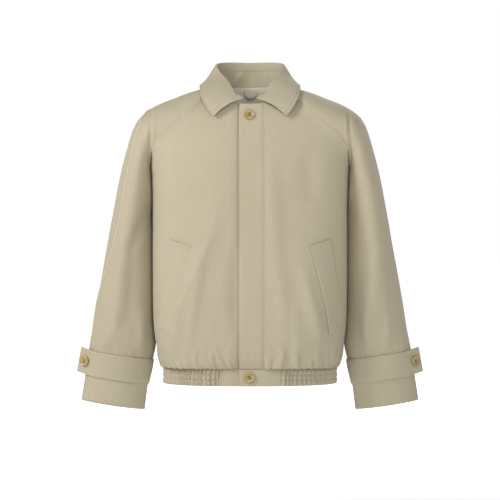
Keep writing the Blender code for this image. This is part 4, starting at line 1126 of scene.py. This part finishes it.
for name, point, facing, spin in places:
    facing = mathutils.Vector(facing)
    turn = facing.to_track_quat("Z", "X").to_matrix().to_4x4() @ mathutils.Matrix.Rotation(spin, 4, "Z")
    move = mathutils.Matrix.Translation(mathutils.Vector(point) + facing.normalized() * BUTTON_STAND_OFF)
    for source, label, material, nodes in ((blank, "horn_button_", horn_material, ["button_" + name]),
                                           (shank, "button_thread_", dark_thread, [])):
        copy = bpy.data.objects.new(label + name, source.data.copy())
        bpy.context.scene.collection.objects.link(copy)
        copy.data.transform(move @ turn)
        dress(copy, material, "button_horn", *nodes)
bpy.data.objects.remove(blank, do_unlink=True)
bpy.data.objects.remove(shank, do_unlink=True)


# ------------------
# Studio: a pale floor under soft white light from all round, a large soft light
# at the upper left, and the camera level with the middle of the jacket.

MIDDLE_Z = -0.356
DISTANCE = 3.8
FRAME_WIDTH = 1.1           # width of the view at the jacket
FLOOR_Z = -0.98
ROOM_LIGHT = 0.28
PAPER_GLOW = 0.78           # the paper round the jacket glows: painted light in place of lamps on it
GLOW_CENTRE = (0.0, -1.0, 0.0)
GLOW_FROM = 1.35            # distance from that centre at which the glow begins
GLOW_FULL = 2.0
LAMPS = [                   # name, place, size, power in watts
    ("key_light", (-4.7, -3.0, 3.5), 1.9, 270.0), ("front_light", (0.3, -3.9, 0.7), 1.8, 57.0),
    ("back_light", (1.6, 4.2, 2.2), 2.0, 105.0)]

bpy.ops.object.select_all(action="DESELECT")
bpy.ops.mesh.primitive_circle_add(vertices=96, radius=60.0, fill_type="NGON", location=(0.0, 0.0, FLOOR_Z))
floor = bpy.context.object
floor.name = floor.data.name = "studio_floor"
paper, tree, shader, place = new_material("white_studio_paper", {
    "Base Color": linear("#F7F7F7"), "Roughness": 0.9, "Emission Color": (1.0, 1.0, 1.0, 1.0)})
# Painted light: the paper glows more the farther it is from a point in front of the jacket, so it looks
# white where seen without lighting the jacket from below.
away = add_node(tree, "VectorMath", {0: place["Object"], 1: GLOW_CENTRE}, operation="DISTANCE")
glow = add_node(tree, "MapRange", {"Value": away.outputs["Value"], "From Min": GLOW_FROM,
                                   "From Max": GLOW_FULL, "To Min": 0.0, "To Max": PAPER_GLOW})
tree.links.new(glow.outputs[0], shader["Emission Strength"])
floor.data.materials.append(paper)

world = bpy.data.worlds.new("studio_light")
world.use_nodes = True
backdrop = world.node_tree.nodes["Background"]
backdrop.inputs["Color"].default_value = (1.0, 1.0, 1.0, 1.0)
seen = add_node(world.node_tree, "LightPath", {})
strength = add_node(world.node_tree, "MapRange", {"Value": seen.outputs["Is Camera Ray"],
                                                  "To Min": ROOM_LIGHT, "To Max": 1.0})
world.node_tree.links.new(strength.outputs[0], backdrop.inputs["Strength"])
bpy.context.scene.world = world
bpy.context.scene.view_settings.view_transform = "Standard"

for name, place, size, power_w in LAMPS:
    lamp = bpy.data.lights.new(name, "AREA")
    lamp.size = size
    lamp.energy = power_w
    holder = bpy.data.objects.new(name, lamp)
    bpy.context.scene.collection.objects.link(holder)
    holder.location = place
    aim = mathutils.Vector((0.0, 0.0, MIDDLE_Z)) - mathutils.Vector(place)
    holder.rotation_euler = aim.to_track_quat("-Z", "Y").to_euler()

camera = bpy.data.objects.new("camera", bpy.data.cameras.new("camera"))
bpy.context.scene.collection.objects.link(camera)
camera.location = (0.0, -DISTANCE, MIDDLE_Z)
camera.rotation_euler = (math.pi / 2, 0.0, 0.0)
camera.data.sensor_width = 36.0
camera.data.lens = camera.data.sensor_width * DISTANCE / FRAME_WIDTH
bpy.context.scene.camera = camera
